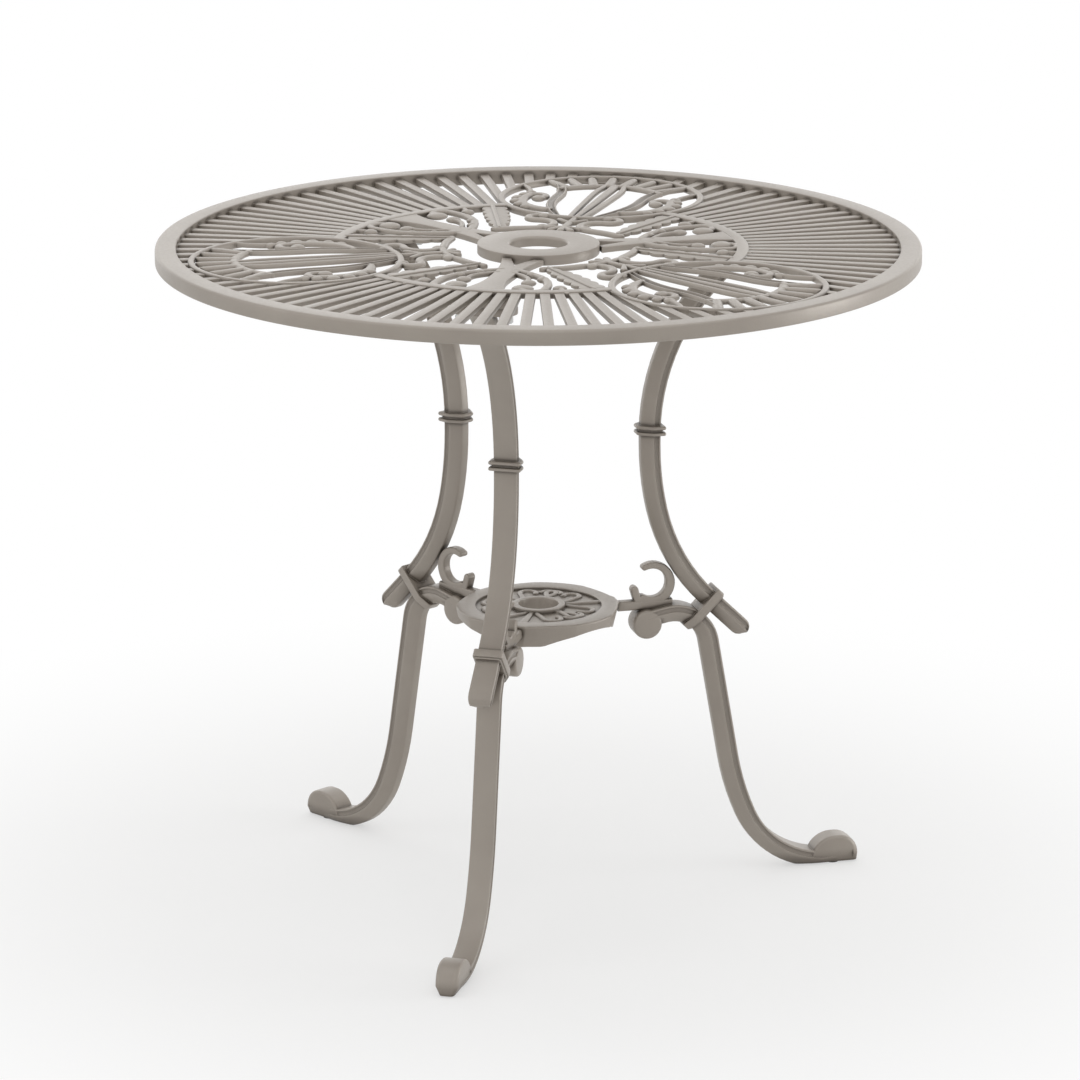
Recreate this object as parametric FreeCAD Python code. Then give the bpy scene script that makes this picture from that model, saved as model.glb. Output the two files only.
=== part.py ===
import FreeCAD, Part
import math
import os

# Round garden table in cast aluminium: an openwork top with a parasol hole, three scrolled
# legs and a small lower shelf that ties the legs together.
# Millimetres, +Z up, origin on the floor under the middle of the table.

# Whole table
table_diameter = 800.0
table_height = 710.0
shelf_height = 316.5
leg_angles = {"front": -90.0, "right": 30.0, "left": 150.0}
leg_to_medallion = 60.0

# Rim of the tabletop
rim_width = 22.0
rim_depth = 16.0
rim_round = 3.0

# Openwork plate inside the rim
plate_drop = 4.5
plate_thickness = 6.0
slat_count = 96
slat_width = 10.5
inner_ring_diameter = 440.0
inner_ring_width = 13.0
medallion_centre_radius = 259.0
medallion_diameter = 224.0
medallion_ring_width = 7.0

# Hub with the parasol hole
hub_diameter = 128.0
hub_depth = 11.0
parasol_hole = 60.0
hole_chamfer = 2.0

# Bars of the scrollwork between hub and inner ring
trunk_hub_half = 22.5
trunk_notch_half = 12.0
trunk_waist_half = 11.5
trunk_ring_half = 22.0
scroll_bar = 9.0
scroll_ball = 9.5
bud_bar = 6.0
lobe_root = 25.0
lobe_tip = 17.0
bowl_ball = 6.5

# Bars of the palmette inside a medallion
petal_count = 8
petal_step = 12.2
petal_root = 22.0
petal_tip = 13.0
stem_foot = 8.0
stem_head = 12.0
inner_stem_bar = 7.0
side_leaf_end = 9.0
side_leaf_middle = 16.0
volute_bar = 8.0
volute_ball = 7.0
tie_bar = 6.0

# Leg bars: flat outer face, straight sides, then flanks that run in to a narrow inner face
bar_width = 25.0
bar_depth = 20.0
bar_side = 9.5
bar_inner_face = 10.0
bar_edge_round = 1.5

# Upper bar, from its tail up to the top
tail_start_radius = 194.0
tail_start_rise = 2.0
tail_length = 58.0
tail_lean = 46.0
lower_bend_radius = 197.0
lower_bend_end_lean = 13.0
waist_bend_radius = 310.0
waist_straight = 12.0

# Double collar on the waist
collar_rise = 4.0
collar_ring = 4.0
collar_groove = 2.4
collar_proud = 5.0
collar_groove_proud = 2.0

# Lower bar, from its curled head down to the foot
peak_centre_radius = 148.0
peak_centre_drop = 59.0
peak_bend_radius = 50.0
head_slope = 11.0
head_straight = 30.0
shin_lean = 10.0
ankle_bend_radius = 279.0
ankle_end_lean = 24.0
instep_bend_radius = 92.0
toe_thickness = 13.9

# Curled head of the lower bar
curl_radius = 16.0
curl_chamfer = 2.5
curl_centre_radius = 118.0
curl_centre_drop = 28.5

# Foot
foot_back_radius = 28.0
foot_front_radius = 22.0
foot_front_reach = 26.7
foot_forward = 8.0
foot_sink = 2.5
foot_corner = 6.0
foot_flank_height = 8.5
foot_sole_width = 16.0

# Band that ties the two bars together
band_width = 11.0
band_along_tail = 3.5
band_reach = 45.3
band_side_proud = 2.0
band_end_proud = 3.0
band_taper = 14.0
band_inner_face = 15.0

# C scroll above the lower bar
scroll_thickness = 11.0
c_centre_radius = 125.1
c_centre_rise = 15.0
c_middle_radius = 20.0
c_width = 10.0
c_tip_width = 6.5
c_start_angle = 116.0
c_sweep = 238.0
thumb_width = 8.5
thumb_foot_radius = 108.8
thumb_tip_radius = 105.3
thumb_foot_drop = 2.9
thumb_rise = 11.9

# Stub from the C scroll to the shelf
stub_drop = 3.0
stub_height = 10.5

# Palm under the top, and the seat that it is bolted to
seat_radius = 209.0
seat_depth = 10.0
palm_length = 70.0
palm_width = 34.0
palm_thickness = 8.0

# Shelf
shelf_diameter = 176.0
shelf_plate = 3.0
shelf_floor_drop = 3.0
shelf_floor_thickness = 3.5
shelf_recess_diameter = 134.0
shelf_apron = 24.0
shelf_wall = 4.5
shelf_draft = 5.0
apron_arch_half = 50.0
apron_arch_rise = 13.0
apron_arch_start = 60.0
lug_reach = 87.0
lug_width = 22.0
lug_wall = 5.0
lug_flank_angle = 42.0
lug_flank_bow = 2.0
pole_hole = 42.5
pole_ring_diameter = 57.0
pole_ring_proud = 1.5
pole_ring_depth = 14.0
relief_height = 2.4
relief_bar = 6.5
relief_ball = 3.5

# Seat fasteners: bolt, flat washer, spring washer
seat_bolt = 8.0
seat_bolt_length = 20.0
seat_bolt_head = 5.3
seat_bolt_flats = 13.0
seat_bolt_half_spacing = 23.0
seat_washer_diameter = 16.0
seat_washer_thickness = 1.6
seat_spring_diameter = 13.5
seat_spring_thickness = 2.0

# Shelf fasteners
shelf_bolt = 4.0
shelf_bolt_length = 14.0
shelf_bolt_head = 2.8
shelf_bolt_flats = 7.0
shelf_bolt_drop = 8.2
shelf_washer_diameter = 9.0
shelf_washer_thickness = 0.8
shelf_spring_diameter = 7.6
shelf_spring_thickness = 0.9

# Fits of the fasteners
thread_clearance = 0.1
bolt_hole_clearance = 0.5
washer_clearance = 0.2
hole_past_bolt = 0.8
spring_slit = 1.2
bolt_point = 0.8

# Glide under each foot
glide_proud = 1.5
glide_diameter = 14.0
glide_stem = 6.0
glide_stem_length = 10.0
glide_fit = 0.1

# Extra length where a solid runs into its neighbour or a cutter runs past
into = 1.5
past = 5.0

# Levels and radii that follow from the sizes above
table_radius = table_diameter / 2
plate_top = table_height - plate_drop
plate_bottom = plate_top - plate_thickness
seat_level = plate_bottom - seat_depth
palm_bottom = seat_level - palm_thickness
ring_outside = inner_ring_diameter / 2
ring_inside = ring_outside - inner_ring_width
hub_radius = hub_diameter / 2
medallion_outside = medallion_diameter / 2
medallion_inside = medallion_outside - medallion_ring_width
stub_top = shelf_height - stub_drop
shelf_bolt_level = shelf_height - shelf_bolt_drop
up = FreeCAD.Vector(0, 0, 1)
across = FreeCAD.Vector(0, 1, 0)
origin = FreeCAD.Vector(0, 0, 0)


def flat_point(x, y):
    return FreeCAD.Vector(x, y, 0)


def side_point(x, z):
    return FreeCAD.Vector(x, 0, z)


def unit(angle):
    return math.cos(math.radians(angle)), math.sin(math.radians(angle))


def curve(start, middle, end):
    """Arc through three points, or a line where they are in line."""
    chord = end - start
    bow = chord.cross(middle - start).Length / chord.Length
    if bow < 0.001:
        return Part.makeLine(start, end)
    return Part.Arc(start, middle, end).toShape()


def face_of(edges):
    return Part.Face(Part.Wire(edges))


def turned(shape, angle):
    copy = shape.copy()
    copy.rotate(origin, up, angle)
    return copy


def mirrored(shape):
    return shape.mirror(origin, across)


def mirrored_sideways(shape):
    return shape.mirror(origin, FreeCAD.Vector(1, 0, 0))


def joined(shapes):
    return shapes[0].multiFuse(shapes[1:]).removeSplitter()


# Centre lines made of tangent arcs, in a plane. A spot is (x, y, heading).
def arc_step(spot, radius, turn):
    """Go along an arc; a turn above zero is to the left."""
    x, y, heading = spot
    side = math.copysign(1.0, turn)
    c0, s0 = unit(heading)
    c1, s1 = unit(heading + turn)
    centre_x = x - side * radius * s0
    centre_y = y + side * radius * c0
    return centre_x + side * radius * s1, centre_y - side * radius * c1, heading + turn


def line_step(spot, length):
    c, s = unit(spot[2])
    return spot[0] + length * c, spot[1] + length * s, spot[2]


def step_towards(spot, x, y):
    """The tangent arc from a spot to a point, as its radius and its turn."""
    bearing = math.degrees(math.atan2(y - spot[1], x - spot[0]))
    half_turn = (bearing - spot[2] + 180.0) % 360.0 - 180.0
    chord = math.hypot(x - spot[0], y - spot[1])
    if abs(half_turn) < 0.05:
        half_turn = 0.05
    return abs(chord / (2 * math.sin(math.radians(half_turn)))), 2 * half_turn


def beside(spot, offset, point):
    """A point to the left of a spot by the offset."""
    c, s = unit(spot[2])
    return point(spot[0] - offset * s, spot[1] + offset * c)


def stroke(start, stops, widths, point=flat_point):
    """Face of a bar that follows tangent arcs. A stop is a point (x, y), or a curl
    (radius, turn, "curl"). The width runs evenly from stop to stop, and both ends are round."""
    spots = [start]
    arcs = []
    for stop in stops:
        here = spots[-1]
        radius, turn = stop[:2] if len(stop) == 3 else step_towards(here, stop[0], stop[1])
        arcs.append((here, arc_step(here, radius, turn / 2), arc_step(here, radius, turn)))
        spots.append(arcs[-1][2])
    left = []
    right = []
    for (first, middle, last), w0, w1 in zip(arcs, widths, widths[1:]):
        halves = (w0 / 2, (w0 + w1) / 4, w1 / 2)
        trio = (first, middle, last)
        left.append(curve(*[beside(s, h, point) for s, h in zip(trio, halves)]))
        right.insert(0, curve(*[beside(s, -h, point) for s, h in reversed(list(zip(trio, halves)))]))
    tail_half = widths[0] / 2
    tip_half = widths[-1] / 2
    tip = line_step(spots[-1], tip_half)
    tail = line_step(spots[0], -tail_half)
    tip_cap = curve(
        beside(spots[-1], tip_half, point), point(tip[0], tip[1]), beside(spots[-1], -tip_half, point)
    )
    tail_cap = curve(
        beside(spots[0], -tail_half, point), point(tail[0], tail[1]), beside(spots[0], tail_half, point)
    )
    return face_of(left + [tip_cap] + right + [tail_cap]), spots[-1]


def disc(radius, x=0.0, y=0.0):
    return face_of([Part.makeCircle(radius, flat_point(x, y))])


def ring(outer, inner, x=0.0, y=0.0):
    return disc(outer, x, y).cut(disc(inner, x, y))


def rounded_slot(length, width):
    """Slot-shaped face along Y, with round ends."""
    half = (length - width) / 2
    r = width / 2
    return face_of([
        Part.makeLine(flat_point(r, -half), flat_point(r, half)),
        curve(flat_point(r, half), flat_point(0, half + r), flat_point(-r, half)),
        Part.makeLine(flat_point(-r, half), flat_point(-r, -half)),
        curve(flat_point(-r, -half), flat_point(0, -half - r), flat_point(r, -half)),
    ])


def revolved(points):
    """Solid turned about the table's axis from an outline of (radius, height)."""
    outline = [side_point(r, z) for r, z in points]
    return Part.Face(Part.makePolygon(outline + outline[:1])).revolve(origin, up, 360)


# Openwork of the tabletop, drawn flat. Lengths on the centre's strokes are shares of the
# inner ring's inside radius, and on the palmette's of the medallion's.
def at(share_x, share_y, size):
    return share_x * size, share_y * size


def trunk():
    """Leaf on the leg's axis, from two prongs at the hub to the inner ring."""
    root = hub_radius - into
    tip = ring_inside + into
    upper = [
        curve(
            flat_point(root, trunk_hub_half),
            flat_point(*at(0.507, 0.068, ring_inside)),
            flat_point(0.725 * ring_inside, trunk_waist_half),
        ),
        curve(
            flat_point(0.725 * ring_inside, trunk_waist_half),
            flat_point(*at(0.879, 0.067, ring_inside)),
            flat_point(tip, trunk_ring_half),
        ),
    ]
    notch = [
        Part.makeLine(flat_point(root, trunk_notch_half), flat_point(0.449 * ring_inside, 0)),
        Part.makeLine(flat_point(root, trunk_notch_half), flat_point(root, trunk_hub_half)),
    ]
    ring_end = Part.makeLine(flat_point(tip, trunk_ring_half), flat_point(tip, -trunk_ring_half))
    half = upper + notch
    edges = half + [mirrored(edge) for edge in half] + [ring_end]
    return face_of(Part.__sortEdges__(edges))


def centre_strokes():
    """The strokes on one side of a leg's axis."""
    size = ring_inside
    scroll, eye = stroke(
        (*at(0.541, 0.039, size), 60.0),
        [at(0.652, 0.184, size), at(0.797, 0.266, size), at(0.928, 0.28, size), (0.056 * size, -190.0, "curl")],
        [scroll_bar] * 5,
    )
    bud, _ = stroke(
        (*at(0.609, 0.039, size), 60.0),
        [at(0.691, 0.13, size), at(0.773, 0.15, size)],
        [bud_bar] * 3,
    )
    lobe, _ = stroke(
        (*at(0.86, 0.517, size), 216.0),
        [at(0.638, 0.338, size), at(0.464, 0.179, size)],
        [lobe_root, lobe_root, lobe_tip],
    )
    bowl, end = stroke(
        (*at(0.473, 0.155, size), 116.0),
        [at(0.357, 0.32, size), (0.106 * size, -88.0, "curl"), at(0.487, 0.475, size), (0.05 * size, 214.0, "curl")],
        [scroll_bar] * 5,
    )
    return [scroll, disc(scroll_ball, *eye[:2]), bud, lobe, bowl, disc(bowl_ball, *end[:2])]


def centre_work():
    half = centre_strokes()
    sector = [trunk()] + half + [mirrored(face) for face in half]
    return [turned(face, angle) for angle in leg_angles.values() for face in sector]


def palmette_strokes():
    """The strokes on one side of a medallion's axis; x runs along the rim, y outwards."""
    size = medallion_inside
    inner_stem, _ = stroke(
        (*at(0.086, -1.0, size), 78.0),
        [at(0.19, -0.286, size), at(0.152, 0.19, size), at(0.076, 0.48, size)],
        [inner_stem_bar] * 4,
    )
    leaf, _ = stroke(
        (*at(0.22, -0.96, size), 64.0),
        [at(0.362, -0.571, size), at(0.41, -0.095, size), at(0.495, 0.381, size), at(0.63, 0.6, size)],
        [side_leaf_end, side_leaf_middle, side_leaf_middle, side_leaf_middle, side_leaf_end],
    )
    volute, eye = stroke(
        (*at(0.381, -0.667, size), 5.0),
        [at(0.59, -0.59, size), at(0.762, -0.333, size), at(0.762, -0.048, size), (0.095 * size, 230.0, "curl")],
        [volute_bar] * 5,
    )
    tie, _ = stroke(
        (*at(0.757, -0.05, size), 88.0),
        [at(0.93, 0.4, size)],
        [tie_bar] * 2,
    )
    return [inner_stem, leaf, volute, disc(volute_ball, *eye[:2]), tie]


def palmette():
    size = medallion_inside
    focus = at(0, -0.095, size)
    stem, _ = stroke((*at(0, -1.0, size), 90.0), [at(0, 0.48, size)], [stem_foot, stem_head])
    petals = []
    for i in range(petal_count):
        heading = 90.0 + (i - (petal_count - 1) / 2) * petal_step
        root = line_step((*focus, heading), 0.62 * size)
        tip = line_step((*focus, heading), 1.04 * size)
        petals.append(stroke(root, [tip[:2]], [petal_root, petal_tip])[0])
    fan_half_angle = petal_step * petal_count / 2
    fan_start = line_step((*focus, 90.0 + fan_half_angle), 0.63 * size)
    fan, _ = stroke(
        (fan_start[0], fan_start[1], fan_half_angle),
        [(0.63 * size, -2 * fan_half_angle, "curl")],
        [0.3 * size] * 2,
    )
    half = palmette_strokes()
    return [stem, fan] + petals + half + [mirrored_sideways(face) for face in half]


def openwork():
    """Plate inside the rim: slats, rings, scrollwork and palmettes as one openwork face."""
    slat_length = table_radius - rim_width + into - (ring_outside - into)
    slat = Part.Face(Part.makePolygon([
        flat_point(ring_outside - into, -slat_width / 2),
        flat_point(ring_outside - into + slat_length, -slat_width / 2),
        flat_point(ring_outside - into + slat_length, slat_width / 2),
        flat_point(ring_outside - into, slat_width / 2),
        flat_point(ring_outside - into, -slat_width / 2),
    ]))
    pitch = 360.0 / slat_count
    first = leg_angles["front"] + pitch / 2
    slats = [turned(slat, first + i * pitch) for i in range(slat_count)]
    centres = [angle + leg_to_medallion for angle in leg_angles.values()]
    spots = [(medallion_centre_radius * unit(a)[0], medallion_centre_radius * unit(a)[1]) for a in centres]
    field = [ring(ring_outside, ring_inside)] + slats
    windows = [disc(medallion_outside - into / 2, *spot) for spot in spots]
    field = [face.cut(windows) for face in field]
    medallions = []
    motif = [ring(medallion_outside, medallion_inside)] + palmette()
    for angle in centres:
        for face in motif:
            placed = face.copy()
            placed.translate(flat_point(0, medallion_centre_radius))
            medallions.append(turned(placed, angle - 90.0))
    return outlined(field + medallions + centre_work())


def outlined(faces):
    """One face with the outline of overlapping faces: the edges that only one piece has."""
    pieces = faces[0].multiFuse(faces[1:])
    users = {}
    for piece in pieces.Faces:
        for edge in piece.Edges:
            users.setdefault(edge.hashCode(), []).append(edge)
    border = [edges[0] for edges in users.values() if len(edges) == 1]
    wires = [Part.Wire(edges) for edges in Part.sortEdges(border)]
    return Part.makeFace(wires, "Part::FaceMakerBullseye")


def rim():
    inside = table_radius - rim_width
    edges = [
        Part.makeLine(side_point(inside, -rim_depth), side_point(table_radius, -rim_depth)),
        Part.makeLine(side_point(table_radius, -rim_depth), side_point(table_radius, -rim_round)),
        curve(
            side_point(table_radius, -rim_round),
            side_point(
                table_radius - rim_round * (1 - math.sqrt(0.5)), -rim_round * (1 - math.sqrt(0.5))
            ),
            side_point(table_radius - rim_round, 0),
        ),
        Part.makeLine(side_point(table_radius - rim_round, 0), side_point(inside, 0)),
        Part.makeLine(side_point(inside, 0), side_point(inside, -rim_depth)),
    ]
    body = face_of(edges).revolve(origin, up, 360)
    body.translate(up * table_height)
    return body


def hub():
    inside = parasol_hole / 2
    return revolved([
        (inside, table_height - hub_depth),
        (hub_radius, table_height - hub_depth),
        (hub_radius, table_height - hole_chamfer / 2),
        (hub_radius - hole_chamfer / 2, table_height),
        (inside + hole_chamfer, table_height),
        (inside, table_height - hole_chamfer),
    ])


def seat_pads():
    """Bolting seats under the inner ring, and the threaded holes in them."""
    pad = rounded_slot(palm_length, palm_width).extrude(up * (seat_depth + into))
    pad.translate(FreeCAD.Vector(seat_radius, 0, seat_level))
    grip = seat_bolt_length - palm_thickness - seat_washer_thickness - seat_spring_thickness
    hole_radius = seat_bolt / 2 + thread_clearance
    holes = []
    for side in (-1, 1):
        start = FreeCAD.Vector(seat_radius, side * seat_bolt_half_spacing, seat_level - past)
        holes.append(Part.makeCylinder(hole_radius, grip + hole_past_bolt + past, start))
    pads = [turned(pad, angle) for angle in leg_angles.values()]
    return pads, [turned(hole, angle) for angle in leg_angles.values() for hole in holes]


def tabletop():
    plate = openwork().extrude(up * plate_thickness)
    plate.translate(up * plate_bottom)
    pads, holes = seat_pads()
    body = joined([rim(), hub(), plate] + pads)
    return body.cut(holes)


# Legs, drawn in the plane of radius and height and turned to their place.
def bar_section(grow=0.0):
    """Outline of a leg bar across its length, as (depth, width) points, grown on all sides."""
    half = bar_width / 2 + grow
    inner = bar_inner_face / 2 + grow / 2
    return [
        (-grow, -half),
        (-grow, half),
        (bar_side, half),
        (bar_depth + grow, inner),
        (bar_depth + grow, -inner),
        (bar_side, -half),
    ]


def section_face(spot, side):
    """The bar's section at a spot of its outer face; side is 1 where the bar lies to the left."""
    c, s = unit(spot[2])

    def place(depth, width):
        return FreeCAD.Vector(spot[0] - side * depth * s, width, spot[1] + side * depth * c)

    half = bar_width / 2
    e = bar_edge_round
    cut = e * (1 - math.sqrt(0.5))
    inner = bar_inner_face / 2
    return face_of([
        Part.makeLine(place(0, -half + e), place(0, half - e)),
        curve(place(0, half - e), place(cut, half - cut), place(e, half)),
        Part.makeLine(place(e, half), place(bar_side, half)),
        Part.makeLine(place(bar_side, half), place(bar_depth, inner)),
        Part.makeLine(place(bar_depth, inner), place(bar_depth, -inner)),
        Part.makeLine(place(bar_depth, -inner), place(bar_side, -half)),
        Part.makeLine(place(bar_side, -half), place(e, -half)),
        curve(place(e, -half), place(cut, -half + cut), place(0, -half + e)),
    ])


def bar_along(start, steps, side):
    """Solid of a leg bar along lines (length,) and arcs (radius, turn), and its last spot."""
    spot = start
    pieces = []
    for step in steps:
        face = section_face(spot, side)
        if len(step) == 1:
            last = line_step(spot, step[0])
            pieces.append(face.extrude(FreeCAD.Vector(last[0] - spot[0], 0, last[1] - spot[1])))
        else:
            last = arc_step(spot, step[0], step[1])
            to_centre = math.copysign(step[0], step[1])
            c, s = unit(spot[2])
            centre = FreeCAD.Vector(spot[0] - to_centre * s, 0, spot[1] + to_centre * c)
            pieces.append(face.revolve(centre, FreeCAD.Vector(0, -1, 0), step[1]))
        spot = last
    return joined(pieces), spot


def tail_spot():
    """Upper end of the tail's straight, looking up the bar."""
    return tail_start_radius, shelf_height + tail_start_rise, 90.0 + tail_lean


def waist_spot():
    spot = arc_step(tail_spot(), lower_bend_radius, lower_bend_end_lean - tail_lean)
    return arc_step(spot, waist_bend_radius, -lower_bend_end_lean)


def upper_bar():
    tip = line_step(tail_spot(), -tail_length)
    waist_top = line_step(waist_spot(), waist_straight)
    run = seat_radius + palm_width / 2 - waist_top[0]
    climb = palm_bottom - waist_top[1]
    top_radius = (run ** 2 + climb ** 2) / (2 * run)
    top_turn = math.degrees(math.asin(climb / top_radius))
    bar, _ = bar_along(
        tip,
        [
            (tail_length,),
            (lower_bend_radius, lower_bend_end_lean - tail_lean),
            (waist_bend_radius, -lower_bend_end_lean),
            (waist_straight,),
            (top_radius, -top_turn),
        ],
        1,
    )
    above = Part.makeBox(table_radius, table_radius, table_height)
    above.translate(FreeCAD.Vector(0, -table_radius / 2, palm_bottom))
    return bar.cut([above, tail_end_cutter(tip)])


def tail_end_cutter(tip):
    """What a round tail end lacks of a square one."""
    r = bar_depth / 2
    c, s = unit(tip[2])
    middle = beside(tip, r, side_point) + side_point(r * c, r * s)
    block = Part.makeBox(2 * r, 2 * bar_width, 4 * r, FreeCAD.Vector(-2 * r, -bar_width, -2 * r))
    block.rotate(origin, across, -tip[2])
    block.translate(middle)
    roller = Part.makeCylinder(r, 2 * bar_width, middle - across * bar_width, across)
    return block.cut(roller)


def collar():
    """Two rings with a groove between them, on the waist."""
    waist = line_step(waist_spot(), waist_straight)
    layers = [(collar_ring, collar_proud), (collar_groove, collar_groove_proud), (collar_ring, collar_proud)]
    level = waist[1] + collar_rise - (2 * collar_ring + collar_groove) / 2
    rings = []
    for height, grow in layers:
        outline = [FreeCAD.Vector(waist[0] - d, w, level) for d, w in bar_section(grow)]
        rings.append(Part.Face(Part.makePolygon(outline + outline[:1])).extrude(up * height))
        level += height
    return joined(rings)


def peak_start():
    """Start of the lower bar's outer face, at its curled head."""
    centre = (peak_centre_radius, shelf_height - peak_centre_drop)
    c, s = unit(90.0 + head_slope)
    bend = (centre[0] + peak_bend_radius * c, centre[1] + peak_bend_radius * s, head_slope)
    return line_step(bend, -head_straight)


def lower_bar():
    start = peak_start()
    sole = glide_proud
    peak_turn = -(90.0 - shin_lean) - head_slope
    knee = arc_step(line_step(start, head_straight), peak_bend_radius, peak_turn)
    ankle_drop = ankle_bend_radius * (unit(ankle_end_lean)[1] - unit(shin_lean)[1])
    instep_drop = instep_bend_radius * (1 - unit(ankle_end_lean)[1])
    shin_drop = knee[1] - ankle_drop - instep_drop - (sole + toe_thickness)
    bar, toe = bar_along(
        start,
        [
            (head_straight,),
            (peak_bend_radius, peak_turn),
            (shin_drop / unit(shin_lean)[0],),
            (ankle_bend_radius, ankle_end_lean - shin_lean),
            (instep_bend_radius, 90.0 - ankle_end_lean),
        ],
        -1,
    )
    return bar, toe


def foot(toe):
    """Domed foot at the end of the lower bar. Its front corners are rounded in plan, and its
    sides run in to a narrower sole, as the bar's do."""
    middle = side_point(toe[0] + foot_forward, glide_proud + foot_sink)
    top = middle.z + foot_back_radius
    back = middle.x - foot_back_radius
    front = middle.x + foot_front_reach
    front_centre = side_point(front - foot_front_radius, top - foot_front_radius)
    c, s = unit(45.0)
    profile = face_of([
        Part.makeLine(side_point(back, glide_proud), side_point(front, glide_proud)),
        Part.makeLine(side_point(front, glide_proud), side_point(front, front_centre.z)),
        curve(
            side_point(front, front_centre.z),
            front_centre + side_point(foot_front_radius * c, foot_front_radius * s),
            side_point(front_centre.x, top),
        ),
        Part.makeLine(side_point(front_centre.x, top), side_point(middle.x, top)),
        curve(
            side_point(middle.x, top),
            middle + side_point(-foot_back_radius * c, foot_back_radius * s),
            side_point(back, middle.z),
        ),
        Part.makeLine(side_point(back, middle.z), side_point(back, glide_proud)),
    ])
    plan = Part.makeBox(front - back, bar_width, top, FreeCAD.Vector(back, -bar_width / 2, 0))
    uprights = [e for e in plan.Edges if e.BoundBox.ZLength > top / 2 and e.BoundBox.XMin > middle.x]
    half = bar_width / 2
    sole = foot_sole_width / 2
    flank_top = glide_proud + foot_flank_height
    right_half = [(sole, glide_proud), (half, flank_top), (half, top)]
    front_view = right_half + [(-y, z) for y, z in reversed(right_half)]
    outline = [FreeCAD.Vector(back, y, z) for y, z in front_view]
    flanks = Part.Face(Part.makePolygon(outline + outline[:1])).extrude(side_point(front - back, 0))
    return thick(profile, bar_width).common([plan.makeFillet(foot_corner, uprights)]).common([flanks])


def curled_head():
    centre = side_point(curl_centre_radius, shelf_height - curl_centre_drop)
    body = Part.makeCylinder(curl_radius, bar_width, centre - across * (bar_width / 2), across)
    rims = [e for e in body.Edges if e.Closed]
    return body.makeChamfer(curl_chamfer, rims)


def band():
    """Strap round the tail and the lower bar, square to the tail."""
    outer = line_step(tail_spot(), -band_along_tail)
    spot = (outer[0], outer[1], outer[2])
    half = bar_width / 2 + band_side_proud
    end = band_reach + band_end_proud
    inner = band_inner_face / 2
    c, s = unit(spot[2])

    def place(depth, width):
        along = -band_width / 2
        return FreeCAD.Vector(spot[0] - depth * s + along * c, width, spot[1] + depth * c + along * s)

    outline = [
        place(-band_end_proud, -half),
        place(-band_end_proud, half),
        place(end - band_taper, half),
        place(end, inner),
        place(end, -inner),
        place(end - band_taper, -half),
    ]
    return Part.Face(Part.makePolygon(outline + outline[:1])).extrude(side_point(band_width * c, band_width * s))


def thick(face, thickness):
    """Solid of a face in the plane of radius and height, even on both sides of it."""
    placed = face.copy()
    placed.translate(across * (-thickness / 2))
    return placed.extrude(across * thickness)


def c_scroll():
    level = shelf_height + c_centre_rise
    c, s = unit(c_start_angle)
    start = (c_centre_radius + c_middle_radius * c, level + c_middle_radius * s, c_start_angle - 90.0)
    sweep, _ = stroke(
        start,
        [(c_middle_radius, -c_sweep / 2, "curl"), (c_middle_radius, -c_sweep / 2, "curl")],
        [c_tip_width, c_width, c_width],
        side_point,
    )
    foot_level = shelf_height - thumb_foot_drop
    thumb_heading = math.degrees(math.atan2(thumb_rise, thumb_tip_radius - thumb_foot_radius))
    thumb, _ = stroke(
        (thumb_foot_radius, foot_level, thumb_heading),
        [(thumb_tip_radius, foot_level + thumb_rise)],
        [thumb_width] * 2,
        side_point,
    )
    return joined([thick(sweep, scroll_thickness), thick(thumb, scroll_thickness)])


def stub():
    """Short arm from the foot of the C scroll to the shelf's lug."""
    reach = peak_centre_radius - lug_reach
    return Part.makeBox(
        reach,
        scroll_thickness,
        stub_height,
        FreeCAD.Vector(lug_reach, -scroll_thickness / 2, stub_top - stub_height),
    )


def palm():
    body = rounded_slot(palm_length, palm_width).extrude(up * palm_thickness)
    body.translate(FreeCAD.Vector(seat_radius, 0, palm_bottom))
    return body


def leg():
    lower, toe = lower_bar()
    body = joined([upper_bar(), collar(), lower, foot(toe), curled_head(), band(), c_scroll(), stub(), palm()])
    floor_block = Part.makeBox(table_radius, bar_width, bar_depth)
    floor_block.translate(FreeCAD.Vector(0, -bar_width / 2, glide_proud - bar_depth))
    cuts = [floor_block]
    for side in (-1, 1):
        start = FreeCAD.Vector(seat_radius, side * seat_bolt_half_spacing, palm_bottom - past)
        cuts.append(Part.makeCylinder(seat_bolt / 2 + bolt_hole_clearance, palm_thickness + 2 * past, start))
    grip = shelf_bolt_length - lug_wall - shelf_washer_thickness - shelf_spring_thickness
    cuts.append(Part.makeCylinder(
        shelf_bolt / 2 + thread_clearance,
        grip + hole_past_bolt + past,
        side_point(lug_reach - past, shelf_bolt_level),
        FreeCAD.Vector(1, 0, 0),
    ))
    cuts.append(Part.makeCylinder(
        glide_stem / 2 + glide_fit,
        glide_stem_length + hole_past_bolt + past,
        side_point(toe[0] + foot_forward, glide_proud - past),
    ))
    return body.cut(cuts), toe[0] + foot_forward


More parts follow.
